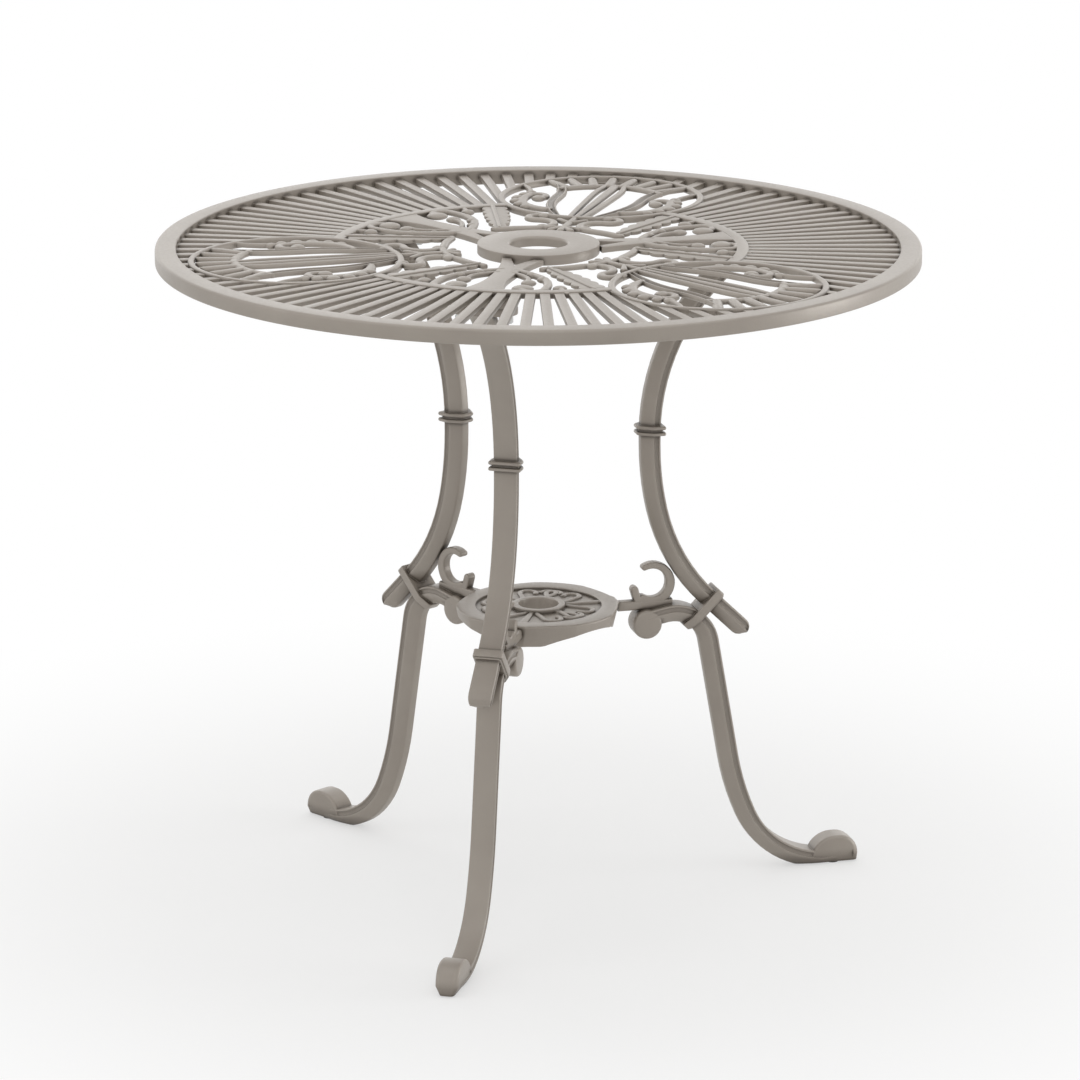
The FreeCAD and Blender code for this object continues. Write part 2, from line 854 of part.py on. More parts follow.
# Shelf
def shelf_plan(grow):
    """Plan of the shelf: a round plate that runs in flat curves to a narrow lug at each leg."""
    radius = shelf_diameter / 2 + grow
    half = lug_width / 2 + grow
    tip = lug_reach + grow
    corner = flat_point(tip, half)
    c, s = unit(lug_flank_angle)
    shoulder = flat_point(radius * c, radius * s)
    along = (shoulder - corner).normalize()
    bow = (corner + shoulder) / 2 + flat_point(along.y, -along.x) * lug_flank_bow
    flank = curve(corner, bow, shoulder)
    middle = unit(leg_to_medallion)
    far = unit(2 * leg_to_medallion - lug_flank_angle)
    edges = [
        Part.makeLine(flat_point(tip, -half), corner),
        flank,
        curve(
            shoulder,
            flat_point(radius * middle[0], radius * middle[1]),
            flat_point(radius * far[0], radius * far[1]),
        ),
        turned(mirrored(flank), 2 * leg_to_medallion),
    ]
    outline = [turned(edge, angle) for angle in leg_angles.values() for edge in edges]
    return Part.Wire(Part.__sortEdges__(outline))


def tapered(plan_top, plan_bottom, top, bottom):
    upper = plan_top.copy()
    lower = plan_bottom.copy()
    upper.translate(up * top)
    lower.translate(up * bottom)
    return Part.makeLoft([lower, upper], True, True)


def relief():
    """Scrolls that stand up from the shelf's recessed floor."""
    size = shelf_recess_diameter / 2
    scroll, eye = stroke(
        (*at(0.45, 0.1, size), 40.0),
        [at(0.72, 0.3, size), (0.13 * size, 210.0, "curl")],
        [relief_bar] * 3,
    )
    leaf, _ = stroke(
        (*at(0.45, 0.0, size), 0.0),
        [at(1.0, 0.0, size)],
        [relief_bar, 1.6 * relief_bar],
    )
    frond, end = stroke(
        (*at(0.24, 0.38, size), 75.0),
        [at(0.3, 0.66, size), (0.12 * size, -200.0, "curl")],
        [relief_bar] * 3,
    )
    half = [scroll, disc(relief_ball, *eye[:2]), frond, disc(relief_ball, *end[:2])]
    sector = [leaf] + half + [mirrored(face) for face in half]
    faces = [turned(face, angle) for angle in leg_angles.values() for face in sector]
    body = joined(faces).extrude(up * (relief_height + into))
    body.translate(up * (shelf_height - shelf_floor_drop - into))
    return body


def lug_blocks(inner_radius, reach, width, bottom, top):
    block = Part.makeBox(
        reach - inner_radius, width, top - bottom, FreeCAD.Vector(inner_radius, -width / 2, bottom)
    )
    return [turned(block, angle) for angle in leg_angles.values()]


def post(radius, bottom, top):
    return Part.makeCylinder(radius, top - bottom, up * bottom)


def shelf():
    """Dished plate on a tapered apron, hollow below, with the pole ring in its middle."""
    bottom = shelf_height - shelf_apron
    floor_top = shelf_height - shelf_floor_drop
    floor_bottom = floor_top - shelf_floor_thickness
    plate_under = shelf_height - shelf_plate
    middle = shelf_diameter / 4
    recess = shelf_recess_diameter / 2
    outside = tapered(shelf_plan(0), shelf_plan(-shelf_draft), shelf_height, bottom)
    outside = joined([outside] + lug_blocks(middle, lug_reach, lug_width, bottom, shelf_height))
    hollow = tapered(
        shelf_plan(-shelf_wall),
        shelf_plan(-shelf_wall - shelf_draft),
        plate_under,
        bottom - past,
    )
    lug_inside = lug_blocks(
        middle, lug_reach - lug_wall, lug_width - 2 * shelf_wall, bottom - past, plate_under
    )
    body = outside.cut(joined([hollow] + lug_inside))
    ring_bottom = shelf_height - pole_ring_depth
    body = joined([
        body,
        post(recess + shelf_floor_thickness, floor_bottom, plate_under + shelf_plate / 2),
        post(pole_ring_diameter / 2, ring_bottom, floor_bottom + into),
    ])
    body = body.cut(post(recess, floor_top, shelf_height + past))
    body = joined([
        body,
        relief(),
        post(pole_ring_diameter / 2, floor_bottom, shelf_height + pole_ring_proud),
    ])
    cuts = [post(pole_hole / 2, ring_bottom - past, table_height)]
    arch_radius = (apron_arch_half ** 2 + apron_arch_rise ** 2) / (2 * apron_arch_rise)
    arch_start = side_point(apron_arch_start, bottom + apron_arch_rise - arch_radius)
    arch = Part.makeCylinder(arch_radius, shelf_diameter / 2, arch_start, FreeCAD.Vector(1, 0, 0))
    for angle in leg_angles.values():
        cuts.append(turned(arch, angle + leg_to_medallion))
        hole = Part.makeCylinder(
            shelf_bolt / 2 + bolt_hole_clearance,
            lug_wall + 2 * past,
            side_point(lug_reach - lug_wall - past, shelf_bolt_level),
            FreeCAD.Vector(1, 0, 0),
        )
        cuts.append(turned(hole, angle))
    return body.cut(cuts)


# Fasteners, drawn along +Z with the underside of the head at the origin
def bolt(diameter, length, head, flats):
    corner = flats / math.sqrt(3)
    corners = [flat_point(corner * unit(60.0 * i)[0], corner * unit(60.0 * i)[1]) for i in range(7)]
    hexagon = Part.Face(Part.makePolygon(corners)).extrude(up * -head)
    shank = revolved([
        (0, -head / 2),
        (diameter / 2, -head / 2),
        (diameter / 2, length - bolt_point),
        (diameter / 2 - bolt_point, length),
        (0, length),
    ])
    return joined([hexagon, shank])


def washer(outer, bolt_diameter, thickness):
    inner = bolt_diameter / 2 + washer_clearance
    return ring(outer / 2, inner).extrude(up * thickness)


def spring_washer(outer, bolt_diameter, thickness):
    body = washer(outer, bolt_diameter, thickness)
    return body.cut(Part.makeBox(outer, spring_slit, thickness, flat_point(0, -spring_slit / 2)))


def seat_fasteners():
    """The bolts, washers and spring washers under one palm, a pair of each."""
    spring_level = palm_bottom - seat_washer_thickness - seat_spring_thickness
    kinds = {
        "seat_bolts": (bolt(seat_bolt, seat_bolt_length, seat_bolt_head, seat_bolt_flats), spring_level),
        "seat_washers": (
            washer(seat_washer_diameter, seat_bolt, seat_washer_thickness),
            palm_bottom - seat_washer_thickness,
        ),
        "seat_spring_washers": (
            spring_washer(seat_spring_diameter, seat_bolt, seat_spring_thickness),
            spring_level,
        ),
    }
    pairs = {}
    for kind, (piece, level) in kinds.items():
        pair = []
        for side in (-1, 1):
            copy = piece.copy()
            copy.translate(FreeCAD.Vector(seat_radius, side * seat_bolt_half_spacing, level))
            pair.append(copy)
        pairs[kind] = Part.makeCompound(pair)
    return pairs


def shelf_fasteners():
    """The bolt, washer and spring washer inside one lug of the shelf."""
    wall = lug_reach - lug_wall
    spring_radius = wall - shelf_washer_thickness - shelf_spring_thickness
    pieces = {
        "shelf_bolt": (bolt(shelf_bolt, shelf_bolt_length, shelf_bolt_head, shelf_bolt_flats), spring_radius),
        "shelf_washer": (
            washer(shelf_washer_diameter, shelf_bolt, shelf_washer_thickness),
            wall - shelf_washer_thickness,
        ),
        "shelf_spring_washer": (
            spring_washer(shelf_spring_diameter, shelf_bolt, shelf_spring_thickness),
            spring_radius,
        ),
    }
    for piece, radius in pieces.values():
        piece.rotate(origin, across, 90)
        piece.translate(side_point(radius, shelf_bolt_level))
    return {kind: piece for kind, (piece, _) in pieces.items()}


def glide(radius):
    """Plastic glide: a flat head under the foot and a stem up into it."""
    head = Part.makeCylinder(glide_diameter / 2, glide_proud, side_point(radius, 0))
    stem = Part.makeCylinder(glide_stem / 2, glide_proud + glide_stem_length, side_point(radius, 0))
    return joined([head, stem])


def export(name, shape):
    print(name, "solids", len(shape.Solids), "valid", shape.isValid(), "volume", round(shape.Volume))
    shape.exportStep("parts/" + name + ".step")


os.makedirs("parts", exist_ok=True)
export("tabletop", tabletop())
export("shelf", shelf())
one_leg, foot_place = leg()
one_set = {"leg": one_leg, **seat_fasteners(), **shelf_fasteners(), "foot_glide": glide(foot_place)}
for kind, shape in one_set.items():
    for name, angle in leg_angles.items():
        export(kind + "_" + name, turned(shape, angle))
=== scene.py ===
# %% [markdown]
# # A cast garden table with an openwork top
# The real table is five aluminium castings, screwed together and powder coated in a warm
# greige. Its shapes are already fixed by a CAD model, so this lesson loads that model as a
# frame and dresses it: same places and sizes, but with the crowned bars, soft casting edges
# and satin coat that catch the light. All drawing below is in millimetres, and each finished
# piece is scaled to metres once, at the end.

# %% Load the frame
import math
import bmesh
import bpy
from mathutils import Matrix, Vector


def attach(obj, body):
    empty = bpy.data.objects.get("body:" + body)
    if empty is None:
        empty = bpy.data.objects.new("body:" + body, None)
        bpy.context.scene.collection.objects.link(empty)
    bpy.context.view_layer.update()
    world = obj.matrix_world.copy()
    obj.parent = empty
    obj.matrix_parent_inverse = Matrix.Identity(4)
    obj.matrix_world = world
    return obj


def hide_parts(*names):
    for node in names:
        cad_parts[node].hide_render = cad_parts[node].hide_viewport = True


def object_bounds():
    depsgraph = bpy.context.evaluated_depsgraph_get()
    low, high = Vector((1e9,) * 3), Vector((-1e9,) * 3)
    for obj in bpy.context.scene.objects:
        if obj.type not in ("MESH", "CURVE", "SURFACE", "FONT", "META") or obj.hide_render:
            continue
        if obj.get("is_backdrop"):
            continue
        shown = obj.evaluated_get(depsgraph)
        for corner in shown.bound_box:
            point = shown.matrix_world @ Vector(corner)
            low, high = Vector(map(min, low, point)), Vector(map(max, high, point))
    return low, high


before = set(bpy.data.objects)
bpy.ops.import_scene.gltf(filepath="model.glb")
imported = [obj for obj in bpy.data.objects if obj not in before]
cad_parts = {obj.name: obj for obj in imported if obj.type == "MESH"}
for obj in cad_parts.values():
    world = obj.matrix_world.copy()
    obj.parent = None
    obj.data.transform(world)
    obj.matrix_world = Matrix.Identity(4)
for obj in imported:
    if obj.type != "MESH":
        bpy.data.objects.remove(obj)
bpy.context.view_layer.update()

# %% [markdown]
# ## The sizes that every piece shares
# A table like this is drawn from a few numbers: how wide, how high, and where the legs stand.
# The three legs are a third of a turn apart, and each medallion sits halfway between two legs.

# %% Shared sizes, in millimetres and degrees
table_radius = 400.0
table_top = 710.0
plate_top = 705.5
plate_bottom = 699.5
plate_thickness = plate_top - plate_bottom
shelf_top = 316.5
sole = 1.5
leg_angles = {"front": -90.0, "right": 30.0, "left": 150.0}
medallion_angles = [angle + 60.0 for angle in leg_angles.values()]
print("plate between", plate_bottom, "and", plate_top)

# %% [markdown]
# ## Walking along a bar
# Scrollwork is drawn by walking: from a spot with a heading, each step is a line or an arc
# that leaves in the direction the last one arrived. Such a walk never has a kink, which is
# what makes a scroll look forged and not folded. A spot is (x, y, heading in degrees).

# %% Steps of a walk
def unit(angle):
    return math.cos(math.radians(angle)), math.sin(math.radians(angle))


def line_step(spot, length):
    c, s = unit(spot[2])
    return spot[0] + length * c, spot[1] + length * s, spot[2]


def arc_step(spot, radius, turn):
    """Go along an arc; a turn above zero is to the left."""
    side = math.copysign(radius, turn)
    c0, s0 = unit(spot[2])
    c1, s1 = unit(spot[2] + turn)
    return spot[0] + side * (s1 - s0), spot[1] + side * (c0 - c1), spot[2] + turn


def step_towards(spot, x, y):
    """The arc from a spot to a point, as its radius and turn."""
    bearing = math.degrees(math.atan2(y - spot[1], x - spot[0]))
    half_turn = (bearing - spot[2] + 180.0) % 360.0 - 180.0
    if abs(half_turn) < 0.05:
        half_turn = 0.05
    chord = math.hypot(x - spot[0], y - spot[1])
    return abs(chord / (2 * math.sin(math.radians(half_turn)))), 2 * half_turn


def beside(spot, offset):
    """The spot moved to its left by the offset."""
    c, s = unit(spot[2])
    return spot[0] - offset * s, spot[1] + offset * c, spot[2]


def walk(start, stops, widths, finest_turn=12.0, finest_length=8.0):
    """Stations (x, y, heading, width) along a bar. A stop is a point, or (radius, turn, "arc"),
    or (length,) straight ahead."""
    stations = [(*start, widths[0])]
    spot = start
    for stop, first, last in zip(stops, widths, widths[1:]):
        if len(stop) == 1:
            count = max(1, math.ceil(stop[0] / (4 * finest_length)))
            places = [line_step(spot, stop[0] * i / count) for i in range(1, count + 1)]
        else:
            radius, turn = stop[:2] if len(stop) == 3 else step_towards(spot, *stop)
            length = radius * math.radians(abs(turn))
            count = math.ceil(max(2.0, abs(turn) / finest_turn, length / (3 * finest_length)))
            places = [arc_step(spot, radius, turn * i / count) for i in range(1, count + 1)]
        for i, place in enumerate(places):
            stations.append((*place, first + (last - first) * (i + 1) / count))
        spot = places[-1]
    return stations


trial = walk((0, 0, 90), [(20, 60), (10, 180, "arc")], [8, 8, 6])
print("a trial walk has", len(trial), "stations and ends at", [round(v, 1) for v in trial[-1]])

# %% [markdown]
# ## From a walk to a bar
# A bar could be a curve object with a bevel, but its width changes along the way and its end
# is rounded, so it is easier to carry a flat outline along the stations: draw the outline once
# as a face, then extrude its edges and move what was extruded to the next station, again and
# again. The rounded ends are just more stations, that get narrower over half a width.

# %% Sweep an outline along stations
def sweep(outline, matrices):
    """Closed bar from an outline of (u, v) and one matrix for each station."""
    bm = bmesh.new()
    verts = [bm.verts.new((u, v, 0)) for u, v in outline]
    edges = list(bm.faces.new(verts).edges)
    bmesh.ops.transform(bm, matrix=matrices[0], verts=verts)
    for before, after in zip(matrices, matrices[1:]):
        grown = bmesh.ops.extrude_edge_only(bm, edges=edges)["geom"]
        verts = [g for g in grown if isinstance(g, bmesh.types.BMVert)]
        fresh = set(verts)
        edges = [g for g in grown if isinstance(g, bmesh.types.BMEdge) and set(g.verts) <= fresh]
        bmesh.ops.transform(bm, matrix=after @ before.inverted(), verts=verts)
    bmesh.ops.holes_fill(bm, edges=edges, sides=0)
    return bm


def with_round_ends(stations, ends=(True, True)):
    """Adds a height share of 1 to each station, and shrinking stations at the chosen ends."""
    body = [(*station, 1.0) for station in stations]
    caps = []
    for station, way, wanted in ((body[0], -1, ends[0]), (body[-1], 1, ends[1])):
        half = station[3] / 2
        cap = []
        for angle in (22.0, 45.0, 66.0, 83.0) if wanted else ():
            c, s = unit(angle)
            x, y, heading = line_step(station[:3], way * half * s)
            cap.append((x, y, heading, station[3] * c, 0.78 + 0.22 * c))
        caps.append(cap)
    return caps[0][::-1] + body + caps[1]


def plan_matrix(x, y, heading, width, height):
    c, s = unit(heading)
    w = width / 2
    return Matrix(((-s * w, 0, c, x), (c * w, 0, s, y), (0, height, 0, 0), (0, 0, 0, 1)))


def side_matrix(x, z, heading, width, thickness, side=1):
    c, s = unit(heading)
    w = side * width / 2
    return Matrix(((-s * w, 0, c, x), (0, thickness / 2, 0, 0), (c * w, 0, s, z), (0, 0, 0, 1)))


def cast_section(thickness, crown, fluted=False):
    """Half widths run from -1 to 1: flat below, upright sides, soft edges and a crowned top.
    A fluted bar has a ridge along both edges and a hollow between them."""
    half = [(0.86, 0.0), (1.0, 0.9), (1.0, thickness - 1.6), (0.93, thickness - 0.6)]
    if fluted:
        half += [(0.8, thickness + crown), (0.62, thickness + crown)]
        half += [(0.42, thickness - 0.8), (0.24, thickness - 1.9)]
        middle = thickness - 2.2
    else:
        half += [(0.74, thickness + 0.35 * crown), (0.4, thickness + 0.82 * crown)]
        middle = thickness + crown
    return half + [(0.0, middle)] + [(-u, v) for u, v in reversed(half)]


def arc_points(x, y, radius, first, last, steps=4):
    """Points along an arc, from one angle to the other."""
    angles = [first + (last - first) * i / steps for i in range(steps + 1)]
    return [(x + radius * unit(angle)[0], y + radius * unit(angle)[1]) for angle in angles]


def soften(bm, geom, radius, segments, affect="EDGES"):
    """Round bevel on edges, or on the corners of a flat outline."""
    bmesh.ops.bevel(
        bm, geom=geom, offset=radius, segments=segments, profile=0.5, affect=affect,
        material=-1, clamp_overlap=True,
    )


def rounded_outline(points, radius, segments=3):
    """The corners of a flat outline, rounded."""
    bm = bmesh.new()
    face = bm.faces.new([bm.verts.new((u, v, 0)) for u, v in points])
    soften(bm, list(face.verts), radius, segments, "VERTICES")
    bm.faces.ensure_lookup_table()
    rounded = [(loop.vert.co.x, loop.vert.co.y) for loop in bm.faces[0].loops]
    bm.free()
    return rounded


print("a bar's outline has", len(cast_section(plate_thickness, 1.0)), "corners")

# %% [markdown]
# ## Keeping, copying and joining shapes
# A casting is poured in one go, so each one ends up as one object. Its shapes are made one at
# a time and put aside as small meshes. Three-fold and mirrored parts are made once and copied
# with a matrix. A mirrored copy has its faces inside out, so it is flipped back.

# %% Keep, copy, join
def stored(bm, name):
    """A mesh made from a bmesh."""
    mesh = bpy.data.meshes.new(name)
    bm.to_mesh(mesh)
    bm.free()
    return mesh


def as_mesh(bm, matrix=None):
    """A small mesh with its faces outwards."""
    bmesh.ops.recalc_face_normals(bm, faces=bm.faces[:])
    mesh = stored(bm, "shape")
    if matrix:
        mesh.transform(matrix)
    return mesh


def keep(bm, shapes, matrix=None):
    """Puts a shape aside."""
    shapes.append(as_mesh(bm, matrix))


def copied(shapes, matrices):
    """A copy of each shape for each matrix."""
    made = []
    for matrix in matrices:
        for shape in shapes:
            copy = shape.copy()
            copy.transform(matrix)
            if matrix.determinant() < 0:
                copy.flip_normals()
            made.append(copy)
    return made


def turn(angle):
    return Matrix.Rotation(math.radians(angle), 4, "Z")


def shift(x, y, z):
    return Matrix.Translation((x, y, z))


mirror_y = Matrix.Diagonal((1, -1, 1, 1))
mirror_x = Matrix.Diagonal((-1, 1, 1, 1))
stay = Matrix.Identity(4)
three_ways = [turn(angle) for angle in leg_angles.values()]


def linked(name, data):
    """A new object in the scene."""
    thing = bpy.data.objects.new(name, data)
    bpy.context.scene.collection.objects.link(thing)
    return thing


def joined(name, shapes):
    """One object, in metres, from all these shapes."""
    bm = bmesh.new()
    for shape in shapes:
        bm.from_mesh(shape)
        bpy.data.meshes.remove(shape)
    bmesh.ops.scale(bm, vec=(0.001, 0.001, 0.001), verts=bm.verts)
    mesh = stored(bm, name)
    print(name, "has", sum(len(p.vertices) - 2 for p in mesh.polygons), "triangles")
    return linked(name, mesh)


def cut_away(shape, cutters):
    """The shape less the cutters, by the exact boolean."""
    objects = [linked("trial", mesh) for mesh in [shape] + cutters]
    body = objects[0]
    for cutter in objects[1:]:
        boolean = body.modifiers.new("cut", "BOOLEAN")
        boolean.operation = "DIFFERENCE"
        boolean.solver = "EXACT"
        boolean.object = cutter
    seen = body.evaluated_get(bpy.context.evaluated_depsgraph_get())
    result = bpy.data.meshes.new_from_object(seen)
    for thing in objects:
        bpy.data.objects.remove(thing)
    for mesh in [shape] + cutters:
        bpy.data.meshes.remove(mesh)
    return result


# %% [markdown]
# ## Rings and plates
# The rim, the inner ring, the medallion rings and the hub are all lathe work. One outline of
# (radius, height) is spun a full turn with merging on, so the seam closes. Flat plates such as
# a bolting seat are drawn as a face, extruded and bevelled.

# %% Lathe and plate
def spun(outline, steps):
    """Ring from an outline of (radius, height), spun round the Z axis."""
    bm = bmesh.new()
    verts = [bm.verts.new((r, 0, z)) for r, z in outline]
    edges = [bm.edges.new(pair) for pair in zip(verts, verts[1:] + verts[:1])]
    bmesh.ops.spin(
        bm, geom=verts + edges, cent=(0, 0, 0), axis=(0, 0, 1), angle=2 * math.pi,
        steps=steps, use_merge=True,
    )
    bmesh.ops.remove_doubles(bm, verts=bm.verts, dist=0.0005)
    return bm


def plate(points, bottom, top, soft=0.0, segments=2):
    """Flat plate from an outline, with its upper and lower edges softened."""
    bm = bmesh.new()
    face = bm.faces.new([bm.verts.new((x, y, bottom)) for x, y in points])
    grown = bmesh.ops.extrude_face_region(bm, geom=[face])["geom"]
    lifted = [g for g in grown if isinstance(g, bmesh.types.BMVert)]
    bmesh.ops.translate(bm, vec=(0, 0, top - bottom), verts=lifted)
    if soft:
        level = [e for e in bm.edges if abs(e.verts[0].co.z - e.verts[1].co.z) < 0.01]
        soften(bm, level, soft, segments)
    return bm


def drum(radius, bottom, top, steps=48, x=0.0, y=0.0):
    """Plain drum, used only as a cutter."""
    bm = bmesh.new()
    bmesh.ops.create_cone(
        bm, cap_ends=True, segments=steps, radius1=radius, radius2=radius, depth=top - bottom,
        matrix=shift(x, y, (top + bottom) / 2),
    )
    return as_mesh(bm)


def ball(radius, middle, half_height, x, y):
    """Flattened ball, for the eye of a scroll or a lump on its back."""
    bm = bmesh.new()
    bmesh.ops.create_uvsphere(bm, u_segments=18, v_segments=10, radius=radius)
    bmesh.ops.scale(bm, vec=(1, 1, half_height / radius), verts=bm.verts)
    bmesh.ops.translate(bm, vec=(x, y, middle), verts=bm.verts)
    return bm


# %% [markdown]
# ## The rim and the field of slats
# The rim stands 4.5 mm above the plate and hangs below it, as a stiffening edge. Its outer
# upper edge is rounded for the arms that lean on it. The 96 slats are plain castings of equal
# width, so their gaps widen outwards. Slats and inner ring stop at the medallions, and an exact
# boolean with three drums cuts them there.

# %% Rim, slats and inner ring
tabletop_shapes = []
rim_inside = table_radius - 22.0
rim_bottom = table_top - 16.0
# Edge radii: below, at the arms, inside
low, arm, inner = 1.2, 3.0, 1.4
rim_outline = (
    arc_points(rim_inside + low, rim_bottom + low, low, 180, 270)
    + arc_points(table_radius - low, rim_bottom + low, low, 270, 360)
    + arc_points(table_radius - arm, table_top - arm, arm, 0, 90, 7)
    + arc_points(rim_inside + inner, table_top - inner, inner, 90, 180)
)
keep(spun(rim_outline, 240), tabletop_shapes)

ring_outside = 220.0
ring_inside = 207.0
medallion_radius = 112.0
medallion_reach = 259.0
medallion_spots = [line_step((0, 0, angle), medallion_reach)[:2] for angle in medallion_angles]


def medallion_drums():
    """Cutters a little smaller than the medallions, so that what they cut stays joined to them."""
    low, high = plate_bottom - 10.0, table_top + 10.0
    return [drum(medallion_radius - 0.8, low, high, 96, *spot) for spot in medallion_spots]


slat_count = 96
slat_half = 5.25
# How far one casting shape runs into the next
overlap = 1.5
slat_run = (ring_outside - overlap, rim_inside + overlap)
slat_corners = [(-slat_half, plate_bottom), (slat_half, plate_bottom)]
slat_corners += [(slat_half, plate_top), (-slat_half, plate_top)]
slat_section = rounded_outline(slat_corners, 1.1, 2)
slat_ends = [Matrix(((0, 0, 1, r), (1, 0, 0, 0), (0, 1, 0, 0), (0, 0, 0, 1))) for r in slat_run]
one_slat = []
keep(sweep(slat_section, slat_ends), one_slat)
pitch = 360.0 / slat_count
slats = copied(one_slat, [turn(-90.0 + pitch * (i + 0.5)) for i in range(slat_count)])
field = bmesh.new()
for slat in slats:
    field.from_mesh(slat)
    bpy.data.meshes.remove(slat)
tabletop_shapes.append(cut_away(as_mesh(field), medallion_drums()))

ring_outline = rounded_outline(
    [
        (ring_inside, plate_bottom), (ring_outside, plate_bottom),
        (ring_outside, plate_top + 1.2), (ring_inside, plate_top + 1.2),
    ],
    1.6,
)
tabletop_shapes.append(cut_away(as_mesh(spun(ring_outline, 160)), medallion_drums()))
spacing = round(math.radians(pitch) * table_radius, 1)
print("slats:", slat_count, "at", spacing, "mm apart at the rim")

# %% [markdown]
# ## The hub
# The parasol pole passes through the hub, so it is the thickest place of the top. Its mouth has
# a wide soft chamfer, which shows as a bright ring round the dark hole.

# %% Hub
hub_radius = 64.0
hub_bottom = table_top - 11.0
mouth_radius = 30.0
chamfer = 2.0
hub_outline = rounded_outline(
    [
        (mouth_radius, hub_bottom), (hub_radius, hub_bottom), (hub_radius, table_top),
        (mouth_radius + chamfer, table_top), (mouth_radius, table_top - chamfer),
    ],
    1.0,
)
keep(spun(hub_outline, 96), tabletop_shapes)

# %% [markdown]
# ## Scrollwork between hub and inner ring
# Each leg has a smooth leaf over it, which forks at the hub. On both sides of it lie a long
# scroll with a ball in its eye, a lobed leaf with a rib, a curled bowl and a few berries on
# stems. Lengths are shares of the ring's inside radius, so the pattern keeps its shape if the
# ring changes. One side is drawn, mirrored, and turned three ways. Between two bowls stands a
# small palmette on its own stem.

# %% Strokes of the centre
def scaled(size):
    """A function that turns shares of a size into millimetres."""
    return lambda x, y: (x * size, y * size)


fine_thickness = 3.8
fine_level = plate_top - fine_thickness
bead_level = plate_top - 1.7


def stroke(
    shapes, start, stops, widths, thickness=fine_thickness, crown=1.1, level=fine_level,
    fluted=False,
):
    """Puts a crowned or fluted bar aside, drawn in plan, and returns the spot where it ends."""
    stations = walk(start, stops, widths)
    matrices = [shift(0, 0, level) @ plan_matrix(*s) for s in with_round_ends(stations)]
    keep(sweep(cast_section(thickness, crown, fluted), matrices), shapes)
    return stations[-1][:3]


def bead(shapes, spot, radius, half_height=3.3):
    """Puts a flattened ball aside, level with the fine bars."""
    keep(ball(radius, bead_level, half_height, *spot[:2]), shapes)


def through(start, middle, end, steps=10):
    """Points along the circle through three points, without the last one."""
    s, m, e = (complex(*p) for p in (start, middle, end))
    w = (e - s) / (m - s)
    centre = s + (m - s) * (w - abs(w) ** 2) / (w - w.conjugate())
    first, last = (math.degrees(math.atan2((p - centre).imag, (p - centre).real)) for p in (s, e))
    last = first + math.remainder(last - first, 360.0)
    return arc_points(centre.real, centre.imag, abs(s - centre), first, last, steps)[:-1]


def lobed_leaf(start, end, widths, bulge):
    """Outline of a leaf with round lobes on both sides. The widths, left and right of the
    middle, are at the notches between the lobes."""
    length = math.hypot(end[0] - start[0], end[1] - start[1])
    c, s = (end[0] - start[0]) / length, (end[1] - start[1]) / length
    sides = []
    for way, column in ((1, 0), (-1, 1)):
        notches = []
        for i, width in enumerate(widths):
            along, off = length * i / (len(widths) - 1), way * width[column]
            notches.append((start[0] + along * c - off * s, start[1] + along * s + off * c))
        points = []
        for one, other in zip(notches, notches[1:]):
            x, y = (one[0] + other[0]) / 2, (one[1] + other[1]) / 2
            points += through(one, (x - way * bulge * s, y + way * bulge * c), other, 6)
        sides.append(points)
    return sides[0] + [end] + sides[1][:0:-1]


def leaf_with_rib(shapes, start, end, widths, bulge, rib):
    """Flat leaf with a rib along its middle."""
    keep(plate(lobed_leaf(start, end, widths, bulge), fine_level, plate_top + 0.3, 1.2), shapes)
    heading = math.degrees(math.atan2(end[1] - start[1], end[0] - start[0]))
    stroke(shapes, (*start, heading), [end], rib, 2.4, 0.9, plate_top - 1.4)


# %% One side of a leg's sector: long scroll, lobed leaf, bowl and berries
size = ring_inside
at = scaled(size)
half_centre = []
stops = [at(0.652, 0.184), at(0.797, 0.266), at(0.928, 0.28)]
stops.append((0.056 * size, -190.0, "arc"))
eye = stroke(half_centre, (*at(0.541, 0.039), 60.0), stops, [9.0] * 5)
bead(half_centre, eye, 11.5, 3.6)
stops = [at(0.691, 0.13), at(0.773, 0.15)]
stroke(half_centre, (*at(0.609, 0.039), 60.0), stops, [6.0] * 3)

lobe_widths = [(8.0, 11.0), (8.5, 12.5), (8.5, 12.5), (8.0, 12.0)]
lobe_widths += [(7.0, 10.5), (5.0, 7.5), (0.0, 0.0)]
leaf_ends = at(0.86, 0.517), at(0.464, 0.179)
leaf_with_rib(half_centre, *leaf_ends, lobe_widths, 4.0, [6.0, 4.5])

stops = [
    at(0.357, 0.32), (0.106 * size, -88.0, "arc"),
    at(0.487, 0.475), (0.05 * size, 214.0, "arc"),
]
eye = stroke(half_centre, (*at(0.473, 0.155), 116.0), stops, [9.0] * 5)
bead(half_centre, eye, 7.5, 3.4)
stroke(half_centre, (*at(0.98, 0.41), 215.0), [at(0.87, 0.345)], [7.0, 6.0])
# Berries at the ends of the small stems, and lumps on the scroll and the bowl
for x, y, radius in (
    (0.79, 0.165, 8.0), (0.7, 0.215, 6.5), (0.87, 0.345, 7.5), (0.62, 0.135, 6.0),
    (0.344, 0.37, 7.0),
):
    bead(half_centre, at(x, y), radius)

